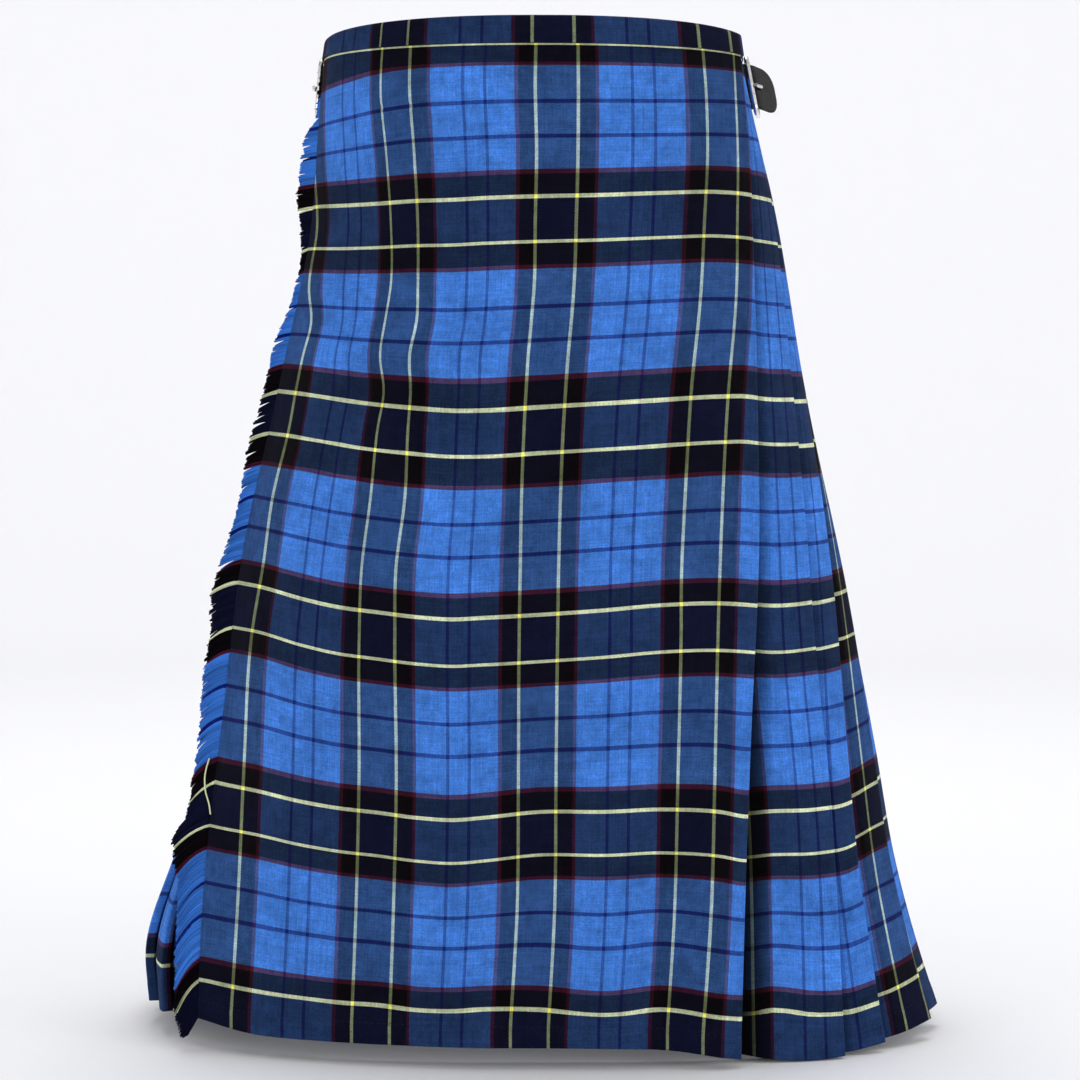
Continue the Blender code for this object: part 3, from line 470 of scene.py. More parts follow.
def soft_folds(x, z):
    """How far the hanging folds stand out: each is a bell across, and half a sine wave down."""
    out = np.zeros_like(x)
    for x_top, x_low, z_top, z_low, half_width, depth in SOFT_FOLDS:
        share = (z_top - z) / (z_top - z_low)
        fade = max(0.0, math.sin(math.pi * min(1.0, max(0.0, share))))
        out += depth * fade * np.exp(-((x - x_top - (x_low - x_top) * share) / half_width) ** 2)
    return out


def unit(ways):
    """The same ways, each one metre long."""
    return ways / np.linalg.norm(ways, axis=-1, keepdims=True)


def offset_sides(path, thickness):
    """The cloth's outer and inner face: each point of the middle line moved half the thickness
    each way along its mitre."""
    step = unit(np.diff(path, axis=0))
    normal = np.stack([-step[:, 1], step[:, 0]], axis=-1)
    before, after = np.vstack((normal[:1], normal)), np.vstack((normal, normal[-1:]))
    mitre = before + after
    mitre /= np.sum(mitre * before, axis=1)[:, None]
    return path + mitre * thickness / 2, path - mitre * thickness / 2


def rounded_folds(corners, counts, rounding):
    """A section through the cloth. Each straight run gets its count of even steps, and each
    corner becomes a parabola that leaves the runs at the rounding distance, or at 0.45 of the
    shorter run. A third column is carried along in the same way."""
    steps = np.diff(corners, axis=0)
    long = np.linalg.norm(steps[:, :2], axis=1)
    reach = np.minimum(rounding, 0.45 * np.minimum(long[:-1], long[1:]))
    start = corners[1:-1] - steps[:-1] * (reach / long[:-1])[:, None]
    end = corners[1:-1] + steps[1:] * (reach / long[1:])[:, None]
    t = np.linspace(0.0, 1.0, 6)[:, None]
    parts = [corners[:1]]
    leave = np.vstack((corners[:1], end))
    arrive = np.vstack((start, corners[-1:]))
    for k, count in enumerate(counts):
        share = (np.arange(1, count) / count)[:, None]
        parts.append(leave[k] + (arrive[k] - leave[k]) * share)
        if k < len(counts) - 1:
            parts.append((1 - t) ** 2 * start[k] + 2 * t * (1 - t) * corners[k + 1]
                         + t**2 * end[k])
    parts.append(corners[-1:])
    return np.concatenate(parts)


def piece_from(name, points, faces, made_of, uv=None, sharp=38.0):
    """One named piece from points and faces, with a place on the cloth for each point and the
    painted light that darkens its colour as painted shade, 1 if not said. Edges of more than this
    angle stay sharp."""
    mesh = bpy.data.meshes.new(name)
    mesh.from_pydata(points.tolist(), [], faces if isinstance(faces, list) else faces.tolist())
    if uv is not None:
        corner = np.empty(len(mesh.loops), dtype=np.int32)
        mesh.loops.foreach_get("vertex_index", corner)
        uv = np.asarray(uv, np.float32)
        mesh.uv_layers.new(name="cloth").data.foreach_set("uv", uv[corner, :2].ravel())
        # painted shade: a painted light value for each point, which darkens the tartan's colour; 1
        # where nothing is painted
        painted_light = mesh.attributes.new("painted_light", "FLOAT", "POINT")
        painted_light.data.foreach_set("value", uv[:, 2] if uv.shape[1] > 2
                             else np.ones(len(uv), np.float32))
    mesh.polygons.foreach_set("use_smooth", np.ones(len(mesh.polygons), dtype=bool))
    if sharp:
        mesh.set_sharp_from_angle(angle=math.radians(sharp))
    mesh.materials.append(made_of)
    mesh.update()
    piece = bpy.data.objects.new(name, mesh)
    bpy.context.scene.collection.objects.link(piece)
    return piece


def stands_for(piece, node):
    """The piece takes a CAD node's place on the kilt's one body: the node is hidden, and the piece
    hangs from the body.
    """
    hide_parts(node)
    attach(piece, "root")
    return piece


def edge_faces(number, back):
    """Faces from the rim of one grid of numbers to the same rim of the grid behind it."""
    rim = np.concatenate((number[:, 0], number[-1, 1:], number[-2::-1, -1],
                          number[0, -2:0:-1]))
    on = np.roll(rim, -1)
    return np.stack([rim, rim + back, on + back, on], axis=-1)


def wall(outer, inner, uv, hole=None):
    """A closed wall between two grids, rows by columns: points, faces and places. A hole
    leaves out the faces between two rows and two columns."""
    rows, columns = outer.shape[:2]
    number = np.arange(rows * columns).reshape(rows, columns)
    kept = np.ones((rows - 1, columns - 1), dtype=bool)
    edges = [edge_faces(number, rows * columns)]
    if hole:
        (above, below), (left, right) = hole
        kept[above:below, left:right] = False
        edges.append(edge_faces(number[above:below + 1, left:right + 1], rows * columns)[:, ::-1])
    kept = kept.ravel()
    a, b = number[:-1, :-1].ravel()[kept], number[:-1, 1:].ravel()[kept]
    c, d = number[1:, 1:].ravel()[kept], number[1:, :-1].ravel()[kept]
    near = np.stack([a, d, c, b], axis=-1)
    far = np.stack([a, b, c, d], axis=-1) + rows * columns
    points = np.concatenate((outer.reshape(-1, 3), inner.reshape(-1, 3)))
    places = np.tile(uv.reshape(-1, uv.shape[-1]), (2, 1))
    return points, np.concatenate([near, far] + edges), places


HEM_TURN = 0.0127           # the hem is turned up by this much and sewn
HEM_THICKNESS = 1.45        # and is this many times as thick


def cloth_piece(name, section, *pleats):
    """A cloth wall through one section for each row, with columns for run, out and place
    across the cloth, and maybe for its painted light, a painted shade that darkens the colour,
    and how far its rows slip. It is thicker below the hem's stitches."""
    outer, inner, uv = [], [], []
    for line in LINES:
        run, out, across, *more = section(line, *pleats).T
        turned_up = HEM_THICKNESS if line.z < HEM_Z + HEM_TURN else 1.0
        near, far = offset_sides(np.stack([run, out], axis=-1), CLOTH * turned_up)
        outer.append(line.place(*near.T))
        inner.append(line.place(*far.T))
        # the painted light for painted shade, 1 where nothing is painted, and the rows' slip
        painted_light, slip = more or (np.ones(len(run)), 0.0)
        down = rows_down(outer[-1][:, 2], outer[-1][:, 0]) + slip
        uv.append(np.stack([across, down, painted_light], -1))
    outer, inner, uv = np.array(outer), np.array(inner), np.array(uv)
    points, faces, uv = wall(inner, outer, uv)
    return stands_for(piece_from(name + "_cloth", points, faces, TARTAN, uv), name)


def over_apron_section(line):
    """Fringed edge to folded edge, then round the fold and back under."""
    edge, fold = apron_edge(line, "fringed_x"), apron_edge(line, "folded_x")
    stand, pitch = mix(OVER_STAND_OFF, line.down), mix(OVER_RETURN_PITCH, line.down)
    run = np.linspace(edge, fold, OVER_COLUMNS)
    out = stand + soft_folds(line.place(run, stand)[:, 0], line.z) * np.clip(
        (fold - run) / FOLD_FLAT, 0.0, 1.0)
    across = stripes_across(line, line.place(run, out), run)
    under = np.array([fold, fold - mix(OVER_UNDERFOLD, line.down)])
    corners = np.stack([np.append(run[-1], under), [stand, stand - pitch, stand - pitch],
                        across[-1] + np.array([0.0, pitch, pitch + under[0] - under[1]])], -1)
    flat = np.stack([run, out, across], axis=-1)
    turned = rounded_folds(np.vstack((flat[-3:-2], corners)), (2, 1, 12), OVER_ROUNDING)
    return np.vstack((flat[:-3], turned))


over_apron = cloth_piece("over_apron", over_apron_section)

# ------------------------------------------------------------------ knife pleats
# Twenty-five knife pleats run from the wearer's left hip round the back to the right hip, all
# folded the same way. They are stitched flat at the top, and open towards the hem. Each hides
# one whole repeat of the tartan, so the pattern runs on from face to face.
FIRST_FACE_HEIGHTS = (0.0, -0.200, -0.330, -0.455, HEM_Z)
FIRST_FACE_WIDTHS = (
    (0.0380, 0.0420, 0.0455, 0.0600, 0.0660),
    (0.0200, 0.0280, 0.0265, 0.0210, 0.0300),
    (0.0140, 0.0260, 0.0320, 0.0375, 0.0500),
)
EVEN_PLEATS = 22
FELL_END = -0.170
UNDERFOLD_SHARE = 0.65
LAST_PLEAT_UNDER_APRON = (0.036, 0.075)
FACE_START = 0.0012             # a face starts this far past the fold before it
FACE_LEAD = 0.0010
FULL_FACE = 0.034               # only faces as wide as this stand out in full
OPENING = 1.2                   # the pleats open by this power of the way from the fell down
PLEAT_ROUNDING = 0.0011
FACE_OUT, FOLD_OUT = (0.0032, 0.0052), (0.0032, 0.0110)
RETURN_OUT, FOLD_RETURN_OUT = (0.0016, 0.0026), (0.0016, 0.0055)
PLEAT_GROUPS = (("left_hip_pleats", 1, 7), ("back_pleats_left", 8, 13),
                ("back_pleats_right", 14, 19), ("right_hip_pleats", 20, 25))
FIRST_FOLD_STEPS = (71, 78)     # where the first two faces' folds lie in the tartan
THIRD_MIDDLE_STEPS = 101        # and the middle of the third
FACE_STEPS = 63.5               # each later face's middle lies this much further on
FIRST_FACE_PAINTED_LIGHT, FACE_PAINTED_LIGHT = (0.60, 0.06), (0.97, 0.70)    # painted shade: how light the cloth is painted where they start, at the fell and at the hem
SLIP, SLIP_TURN = 0.0012, 2.4   # the rows of a face lie off the next's, by a sine of its number


def fold_runs(line):
    """Lengths round the line of every fold: the apron's, the first faces', then even ones."""
    folds = [apron_edge(line, "folded_x")]
    for widths in FIRST_FACE_WIDTHS:
        folds.append(folds[-1] + float(eased(line.z, FIRST_FACE_HEIGHTS, widths)))
    last = line.length + apron_edge(line, "fringed_x")
    last += mix(LAST_PLEAT_UNDER_APRON, line.down)
    return np.concatenate((folds, np.linspace(folds[-1], last, EVEN_PLEATS + 1)[1:]))


def fold_steps(folds):
    """Where each face's own fold lies in the tartan, in steps. The first two are given, and
    later faces are counted from their middles, one repeat and FACE_STEPS from one to the next."""
    width = np.diff(folds) / STEP
    count = np.arange(len(width))
    middle = THIRD_MIDDLE_STEPS + FACE_STEPS * (count - 2) + ACROSS_REPEAT * count
    steps = middle + width / 2
    steps[:2] = np.array(FIRST_FOLD_STEPS) + ACROSS_REPEAT * count[:2]
    return steps


def opening(line, width):
    """How far the pleats have opened, by a power of the way down from the fell's end, and how
    far a face of this width has."""
    down = max(0.0, (line.z - FELL_END) / (HEM_Z - FELL_END)) ** OPENING
    return down, down * min(1.0, width / FULL_FACE)


def pleat_section(line, first, last):
    """The cloth through pleats first to last: each face rises over the layers under it to its
    fold, turns back to the inner fold and starts again underneath."""
    folds = fold_runs(line)
    steps = fold_steps(folds)
    corners = []
    for k in range(first, last + 1):
        width = folds[k] - folds[k - 1]
        down, opened = opening(line, width)
        face, fold, back, fold_back = (mix(pair, opened) for pair in (
            FACE_OUT, FOLD_OUT, RETURN_OUT, FOLD_RETURN_OUT))
        inner = folds[k] - UNDERFOLD_SHARE * width
        starts = steps[k - 1] - (width - FACE_START) / STEP
        # painted shade: each face is painted darker where it starts, tucked under the fold before
        # it, the first face most, and more so towards the hem
        painted_light = mix(FIRST_FACE_PAINTED_LIGHT if k == 1 else FACE_PAINTED_LIGHT, down)
        if k == first:
            before = (UNDERFOLD_SHARE * (folds[k - 1] - folds[k - 2]) if k > 1
                      else mix(OVER_UNDERFOLD, line.down))
            corners.append((folds[k - 1] - before, 0.0, starts - (before + FACE_START) / STEP,
                            painted_light))
        corners += [
            (folds[k - 1] + FACE_START, 0.0, starts, painted_light),
            (inner - FACE_LEAD, face, steps[k - 1] - (folds[k] - inner + FACE_LEAD) / STEP, 1.0),
            (folds[k], fold, steps[k - 1], 1.0),
            (folds[k], fold_back, steps[k - 1] + (fold - fold_back) / STEP, 1.0),
            (inner, back, steps[k - 1] + (fold - fold_back + folds[k] - inner) / STEP, painted_light)]
        if k < last:
            corners.append((inner, 0.0, steps[k] - (folds[k + 1] - inner) / STEP, painted_light))
    corners = np.array(corners)
    corners[:, 2] *= STEP
    pleat = np.array([first] + [k for k in range(first, last + 1) for _ in range(6)][:-1])
    corners = np.column_stack([corners, SLIP * np.sin(SLIP_TURN * pleat) * (pleat > 1)])
    runs = [5] + ([4, 6, 1, 6, 1, 6] * (last - first + 1))[:-2]
    return rounded_folds(corners, runs, PLEAT_ROUNDING)


pleats = {group: cloth_piece(group, pleat_section, first, last)
          for group, first, last in PLEAT_GROUPS}

# ------------------------------------------------------------------ under apron
# The first panel to go round the wearer, plain like the over apron. It starts from the last
# pleat at the wearer's right, lies inside across the front and ends at the left hip.
UNDER_STAND_IN = (0.0030, 0.0090)
UNDER_EASE = 0.5            # the share of the way in which it eases inwards
UNDER_COLUMNS = 120


def under_apron_section(line):
    """From the last pleat's inner fold, in under the over apron, to the wearer's left hip. It
    eases inwards smoothly over the first share of the way."""
    folds = fold_runs(line)
    inner = folds[-1] - UNDERFOLD_SHARE * (folds[-1] - folds[-2])
    start = folds[-1] + FACE_START
    end = line.length + folds[0] + apron_at(line.z, "under_reach")
    run = np.linspace(start, end, UNDER_COLUMNS)
    t = np.clip((run - start) / (UNDER_EASE * (end - start)), 0.0, 1.0)
    out = -mix(UNDER_STAND_IN, line.down) * smooth(t)
    run, out = np.append(inner, run), np.append(0.0, out)
    return np.stack([run, out, run - run[-1]], axis=-1)


under_apron = cloth_piece("under_apron", under_apron_section)

# ------------------------------------------------------------------ waistband
# One strip of the same tartan, folded double over the top edge and stitched through. It goes
# round once and a half, over the over apron, the pleats' tops and the under apron.
BAND_THICKNESS = 0.0024
BAND_FRONT_HEIGHT = 0.0165
BAND_SIDE_HEIGHT = 0.0105
BAND_OVER_APRON, BAND_OVER_PLEATS = 0.0009, 0.0002      # how far out from the cloth it lies
BAND_STRIPE_SHIFT = 0.0022
BAND_SEAM_STEPS = 62.0          # the seam lies at this step of the tartan's rows
BAND_COLUMNS = (110, 14, 190, 14, 90)
BAND_ROWS = ((0.0, 0.0), (0.12, 0.0), (0.35, 0.0), (0.6, 0.0), (0.85, 0.0), (0.95, 0.25),
             (1.0, 0.8))          # share of its height, and how far its rim is rounded in


def band_path():
    """The strip's middle line at the seam, and how far across the tartan each point lies."""
    line = LINES[0]
    folds = fold_runs(line)
    end = line.length + folds[0] + apron_at(0.0, "under_reach")
    over, on_pleats = OVER_STAND_OFF[0] + BAND_OVER_APRON, FOLD_OUT[0] + BAND_OVER_PLEATS
    stops = ((apron_edge(line, "fringed_x"), over), (folds[0] + 0.001, over),
             (folds[0] + 0.014, on_pleats), (folds[-1] + 0.001, on_pleats),
             (folds[-1] + 0.030, -UNDER_STAND_IN[0]), (end, -UNDER_STAND_IN[0]))
    run = np.concatenate([np.linspace(a[0], b[0], n, endpoint=False)
                          for a, b, n in zip(stops[:-1], stops[1:], BAND_COLUMNS)] + [[end]])
    out = np.interp(run, *np.transpose(stops))
    front = run <= folds[0]
    across = np.empty_like(run)
    across[front] = stripes_across(line, line.place(run[front], out[front]), run[front])
    across[~front] = across[front][-1] + run[~front] - folds[0]
    return line, run, out, across + BAND_STRIPE_SHIFT


def waistband():
    """The band's wall leans with the waist, is lower at the sides, and its rim is rounded."""
    line, run, out, across = band_path()
    outer, inner = offset_sides(np.stack([run, out], axis=-1), BAND_THICKNESS)
    y = line.place(run, out)[:, 1]
    height = mix((BAND_SIDE_HEIGHT, BAND_FRONT_HEIGHT), np.clip(-y / y.max(), 0, 1))
    near, far, uv = [], [], []
    for share, inset in BAND_ROWS:
        z = height * share
        lean = eased(z, LEVELS[:, 0], LEVELS[:, 2]) - line.x.max()
        middle = (outer + inner) / 2
        for side, rows in ((outer, near), (inner, far)):
            pulled = middle + (side - middle) * (1.0 - inset)
            points = line.place(pulled[:, 0], pulled[:, 1] + lean)
            points[:, 2] = z
            rows.append(points)
        uv.append(np.stack([across, (BAND_SEAM_STEPS - z / STEP) * STEP], axis=-1))
    points, faces, uv = wall(np.array(far), np.array(near), np.array(uv))
    return stands_for(piece_from("waistband_cloth", points, faces, TARTAN, uv), "waistband")


band = waistband()

# ------------------------------------------------------------------ fringe
# The over apron's edge with its warp drawn out, so that the weft yarns hang free. They reach
# out a finger's breadth and fall, each in the colour of the row that it comes from.
FRINGE_SEED, FRINGE_YARNS = 25, 2100
LOCK = 9                            # yarns that cling together
FRINGE_SPAN = (0.012, 0.998)        # share of the way down of the first and the last yarn
FRINGE_FLARE = 1.1                  # how much they lean outwards rather than along the cloth
FRINGE_REACH = 0.0170
REACH_AT = (0.01, 0.06, 0.08, 0.14, 0.17, 0.20, 0.25, 0.29, 0.34, 0.39, 0.42, 0.46, 0.50, 0.54,
            0.58, 0.63, 0.70, 0.768, 0.784, 0.806, 0.83, 0.88, 1.00)    # share of the way down
REACH_SHARE = (0.24, 0.24, 0.68, 0.74, 0.50, 0.26, 0.28, 0.62, 0.66, 0.80, 0.74, 0.64, 0.84,
               1.12, 0.92, 1.02, 0.92, 1.02, 1.38, 1.30, 1.00, 0.96, 0.80)     # and the reach
FALL_AT = (0.0, 0.25, 0.45, 0.65, 0.80, 0.95)
FALL = (0.0008, 0.0020, 0.0050, 0.0095, 0.0150, 0.0200)
UNEVEN = (0.05, 0.045)              # how much the locks' and the yarns' lengths vary
SWING = (0.0006, 0.0005)            # how far they swing along the edge
LOCK_PULL, LOCK_FALL = 0.16, 0.0004     # a lock draws its yarns together, and hangs unevenly
YARN_SUNK = 0.0015                  # a yarn starts this far inside the edge
YARN_RADIUS, YARN_TAPER = 0.00050, 0.75
YARN_TONES = (0.42, 0.80)           # the darkest yarn's shade, and how much lighter they get
CORNER_SHARE, CORNER_PULL = 0.030, 1.6
CORNER_TIP = 0.0120                 # the corner's yarns cling in one point, so far below the hem
CORNER_ASIDE, CORNER_SCATTER = 0.0085, 0.0007
HEM_CLEAR = 0.0065                  # the other yarns end at least this far above the hem
LOOSE_YARN = ((-0.4330, -0.0022), (-0.4390, -0.0028), (-0.4447, -0.0030), (-0.4530, -0.0022),
              (-0.4610, -0.0002), (-0.4670, 0.0018))    # heights, and how far in from the edge
LOOSE_STEPS = 26.0                  # the cream row's step
LOOSE_CURL, LOOSE_CLEAR = 1.4, 0.0008   # it stands out as it curls past the edge


def yarn_ends(name):
    """Wool yarns in the colours of the rows that they come from, each a little lighter or
    darker than the next."""
    made, tree, shader = surface(name, **WOOL)
    own, down = on_cloth(tree)
    weft, _ = bands(tree, down, DOWN_REPEAT, DOWN_BANDS)
    level = sums(tree, "MULTIPLY_ADD", sums(tree, "FRACT", own), *YARN_TONES[::-1])
    fuzz = grain(tree, on_body(tree), 1400.0, 2.0)
    level = sums(tree, "MULTIPLY", level, sums(tree, "MULTIPLY_ADD", fuzz, 0.5, 0.75))
    grey = join(tree, "ShaderNodeCombineColor", level, level, level)
    feed(tree, shader.inputs["Base Color"], blend(tree, 1.0, weft, grey, "MULTIPLY"))
    bump(tree, shader, fuzz, 0.0002)
    return made


def looked_up(at, run, table):
    """Every column of a table at these places, straight between its rows."""
    return np.stack([np.interp(at, run, column) for column in np.transpose(table)], axis=-1)


def strip_faces(number, on):
    """Faces between two arrays of point numbers, from each station of theirs to the next."""
    quads = np.stack([number[:, :-1], number[:, 1:], on[:, 1:], on[:, :-1]], axis=-1)
    return quads.reshape(-1, 4).tolist()


def circle(sides):
    """The cosines and sines of even turns round a circle."""
    turn = np.linspace(0.0, 2.0 * math.pi, sides, endpoint=False)[:, None]
    return np.cos(turn), np.sin(turn)


def tubes(paths, radii, sides):
    """Round yarns or wires along many paths at once: for each point, the two directions square
    to the path carry a circle. The ends are closed by their own rings' faces."""
    way = unit(np.gradient(paths, axis=1))
    across = unit(np.cross(way, np.array([0.21, 0.13, 0.97])))
    cos, sin = circle(sides)
    ring = across[:, :, None] * cos + np.cross(across, way)[:, :, None] * sin
    points = paths[:, :, None] + ring * radii[..., None, None]
    number = np.arange(points.size // 3).reshape(points.shape[:3])
    faces = strip_faces(number, np.roll(number, -1, axis=2))
    faces += number[:, 0].tolist() + number[:, -1, ::-1].tolist()
    return points.reshape(-1, 3), faces


def yarn_piece(name, paths, radius, sides, made_of, uv=None):
    """One named piece of many yarns or stitches, with one place on the cloth for each of them."""
    points, faces = tubes(paths, radius * np.ones(paths.shape[:2]), sides)
    if uv is not None:
        uv = np.repeat(uv, paths.shape[1] * sides, axis=0)
    piece = piece_from(name, points, faces, made_of, uv, sharp=None)
    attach(piece, "root")
    return piece


def fringe(made_of):
    """Each yarn leaves the edge along the cloth and outwards, and falls with the square of the
    way along it. Uneven lengths and a slight swing keep them from lying in rank, and the
    lowest ones are drawn together to one point."""
    wild = np.random.default_rng(FRINGE_SEED)
    share = np.linspace(*FRINGE_SPAN, FRINGE_YARNS)
    roots, away = [], []
    for line in LINES:
        run, out = over_apron_section(line)[:2, :2].T
        place = line.place(run, out)
        outward = line.place(run[:1], out[:1] + 0.001)[0] - place[0]
        roots.append(place[0])
        away.append(unit(place[0] - place[1]) + FRINGE_FLARE * unit(outward))
    at = mix((-ROW_Z[0], -ROW_Z[-1]), share)
    root = looked_up(at, -ROW_Z, roots)
    way = unit(looked_up(at, -ROW_Z, away) * (1.0, 1.0, 0.0))
    along = np.cross(way, (0.0, 0.0, 1.0))
    lock = np.arange(len(share)) // LOCK
    locks = lock[-1] + 1
    uneven = (1.0 + UNEVEN[0] * wild.uniform(-1, 1, locks)[lock]
              + UNEVEN[1] * wild.uniform(-1, 1, len(share)))
    reach = FRINGE_REACH * np.interp(share, REACH_AT, REACH_SHARE) * uneven
    fall = np.interp(share, FALL_AT, FALL) * uneven
    swing = wild.normal(0.0, SWING[0], locks)[lock] + wild.normal(0.0, SWING[1], len(share))
    middle = np.bincount(lock, root[:, 2])[lock] / np.bincount(lock)[lock]
    fall += LOCK_PULL * (root[:, 2] - middle) + wild.normal(0.0, LOCK_FALL, locks)[lock]
    root, way, along = root[:, None], way[:, None], along[:, None]
    reach, fall, swing = (each[:, None, None] for each in (reach, fall, swing))
    t = np.linspace(0.0, 1.0, 6)[None, :, None]
    paths = (root - way * YARN_SUNK + way * (reach + YARN_SUNK) * t + along * swing * t**2
             - (0.0, 0.0, 1.0) * fall * (0.25 * t + 0.75 * t**2))
    tip = root[-1] + way[-1] * CORNER_ASIDE - (0.0, 0.0, CORNER_TIP)
    drawn = np.clip((share - 1 + CORNER_SHARE) / CORNER_SHARE * CORNER_PULL, 0, 1)[:, None, None]
    scatter = wild.normal(0.0, CORNER_SCATTER, (len(share), 1, 3))
    paths = mix((paths, mix((root, tip + scatter), t)), drawn)
    lowest = HEM_Z + mix((HEM_CLEAR, -CORNER_TIP), drawn[..., 0])
    paths[:, :, 2] = np.maximum(paths[:, :, 2], lowest)
    down = rows_down(root[:, 0, 2], root[:, 0, 0])
    tone = 0.5 * (wild.uniform(0, 1, len(share)) + wild.uniform(0, 1, locks)[lock])
    radii = YARN_RADIUS * np.linspace(1.0, YARN_TAPER, paths.shape[1])
    return yarn_piece("apron_fringe_yarns", paths, radii, 5, made_of,
                      np.stack([tone, down], axis=-1))


def loose_yarn(made_of):
    """One cream yarn that has worked loose and curls down over the cloth."""
    stops = []
    for z, past in LOOSE_YARN:
        line = BodyLine(z)
        stand = (mix(OVER_STAND_OFF, line.down) + CLOTH / 2 + YARN_RADIUS
                 + max(0.0, -LOOSE_CURL * past) + LOOSE_CLEAR)
        run = apron_edge(line, "fringed_x") + past
        stops.append(line.place(np.array([run]), np.array([stand]))[0])
    path = looked_up(np.linspace(0.0, len(stops) - 1.0, 31), np.arange(len(stops)), stops)
    for _ in range(4):
        path[1:-1] = (path[:-2] + 2 * path[1:-1] + path[2:]) / 4
    return yarn_piece("apron_loose_yarn", path[None], YARN_RADIUS, 6, made_of,
                      np.array([[0.9, LOOSE_STEPS * STEP]]))


WOOL_ENDS = yarn_ends("wool_yarn_ends")
yarns, loose = fringe(WOOL_ENDS), loose_yarn(WOOL_ENDS)
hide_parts("apron_fringe")

# ------------------------------------------------------------------ hem stitches
# The hem is turned up inside and caught with small dark stitches, which show as a faint line
# a thumb's width above the edge, on the aprons and on each pleat's face.
HEM_PITCH, HEM_STITCH = 0.0036, 0.62        # and the stitch's share of it
HEM_THREAD = 0.00022
HEM_LAST, HEM_SUNK = 0.0012, 0.0003         # short of a pleat's fold, and into its face


def thread(name, pale, dark):
    """Sewing thread, twisted: fine waves between a darker and a paler tone."""
    made, tree, shader = surface(name, 0.7, shine=0.2)
    body = on_body(tree)
    two_tones(tree, shader, grain(tree, body, 700.0, 2.0), (0.3, dark), (0.7, pale))
    bump(tree, shader, grain(tree, body, 4000.0, 2.0), 0.0001)
    return made


NAVY_THREAD = thread("navy_thread", (0.006, 0.010, 0.040), (0.002, 0.003, 0.012))
hem_line = BodyLine(HEM_Z + HEM_TURN)


def hem_stitches(name, stretches):
    """Small tubes along each stretch of run and out. Both ends dip into the cloth, by a
    parabola, and the middle lies half out of it."""
    t = np.linspace(0.0, 1.0, 5)
    paths = []
    for run, out in stretches:
        starts = np.arange(run[0], run[-1] - HEM_PITCH, HEM_PITCH)
        at = (starts[:, None] + t * HEM_PITCH * HEM_STITCH).ravel()
        lift = np.tile(HEM_THREAD * (0.4 - 1.4 * (2 * t - 1) ** 2), len(starts))
        stands = np.interp(at, run, out) + CLOTH / 2 + lift
        paths.append(hem_line.place(at, stands).reshape(-1, 5, 3))
    return yarn_piece(name + "_hem_stitches", np.concatenate(paths), HEM_THREAD, 4, NAVY_THREAD)


def face_stretch(folds, k):
    """Run and out of pleat k's face, from where it clears the last fold to its own."""
    width = folds[k] - folds[k - 1]
    _, opened = opening(hem_line, width)
    inner = folds[k] - UNDERFOLD_SHARE * width - FACE_LEAD
    return (np.array((inner, folds[k] - HEM_LAST)),
            np.array((mix(FACE_OUT, opened), mix(FOLD_OUT, opened) - HEM_SUNK)))


hems = {"over_apron": hem_stitches("over_apron",
                                   [over_apron_section(hem_line)[:OVER_COLUMNS - 6, :2].T])}
hem_folds = fold_runs(hem_line)
for group, first, last in PLEAT_GROUPS:
    hems[group] = hem_stitches(group, [face_stretch(hem_folds, k)
                                       for k in range(first, last + 1)])

# ------------------------------------------------------------------ straps and chapes
# Two narrow belts of black leather, each sewn to an apron and drawn through a nickel buckle on
# the pleats, with a row of pale grey stitches along each edge. The chape is a short strap
# folded round the buckle's hinge bar and sewn down.
LEATHER_STRAP, CHAPE_LEATHER = 0.0018, 0.0016       # how thick they are
STRAP_WIDTH, STRAP_TONGUE, CHAPE_WIDTH = 0.028, 0.024, 0.024
STRAP_Z = -0.0145
STRAP_TIP = 0.30                # the tongue narrows to this share of the width
LEAN_SPAN = 0.010               # the cloth's lean is taken this far above and below
CHAPE_OUT, CHAPE_TUCK = 0.0063, 0.002       # how far out it is sewn, and how far back it ends
BUCKLE_LENGTH, BUCKLE_WIRE = 0.031, 0.0016
BUCKLE_BARS = BUCKLE_LENGTH - 2 * BUCKLE_WIRE
HIP_PAST_SIDE = 0.006           # the left buckle's place behind the wearer's side
LEFT_STRAP = ((-0.0015, -0.0020), (0.0012, 0.0045), (0.0060, 0.0100), (0.0150, 0.0145),
              (0.0230, 0.0175), (0.0340, 0.0218), (0.0440, 0.0258), (0.0520, 0.0288))
RIGHT_STRAP = ((0.0060, 0.0058), (0.0160, 0.0082), (0.0270, 0.0118), (0.0360, 0.0138),
               (0.0450, 0.0130), (0.0570, 0.0060), (0.0670, -0.0020), (0.0750, -0.0110),
               (0.0810, -0.0190))
LEFT_SEWN, RIGHT_SEWN = (0.062, 0.057, 0.052, 0.047), (0.084, 0.079, 0.074, 0.069)
PATH_STEP = 0.0012
EDGE_ROUNDING = ((0.9, 0.97, 1.0), (0.0, 0.2, 0.55))    # share of the half width, and how far in
STITCH_IN = 0.0026              # stitches lie this far in from the strap's edge
STITCH_PITCH, STITCH = 0.0030, 0.72         # and the stitch's share of it
STITCH_RADIUS = 0.00026
HOLE_SHARE = 0.12               # half the hole, as a share of the strap's half width
HOLE_PLAY = 0.0004
PRONG_WIRE = 0.0011
PRONG_RISE, PRONG_HUMP, PRONG_TIP = 0.0062, 0.0120, 0.0015      # the hump's height and place
PRONG_KNEE, PRONG_DIP, PRONG_ROUNDING = (0.003, 0.001), (0.004, 0.0004), 0.0016


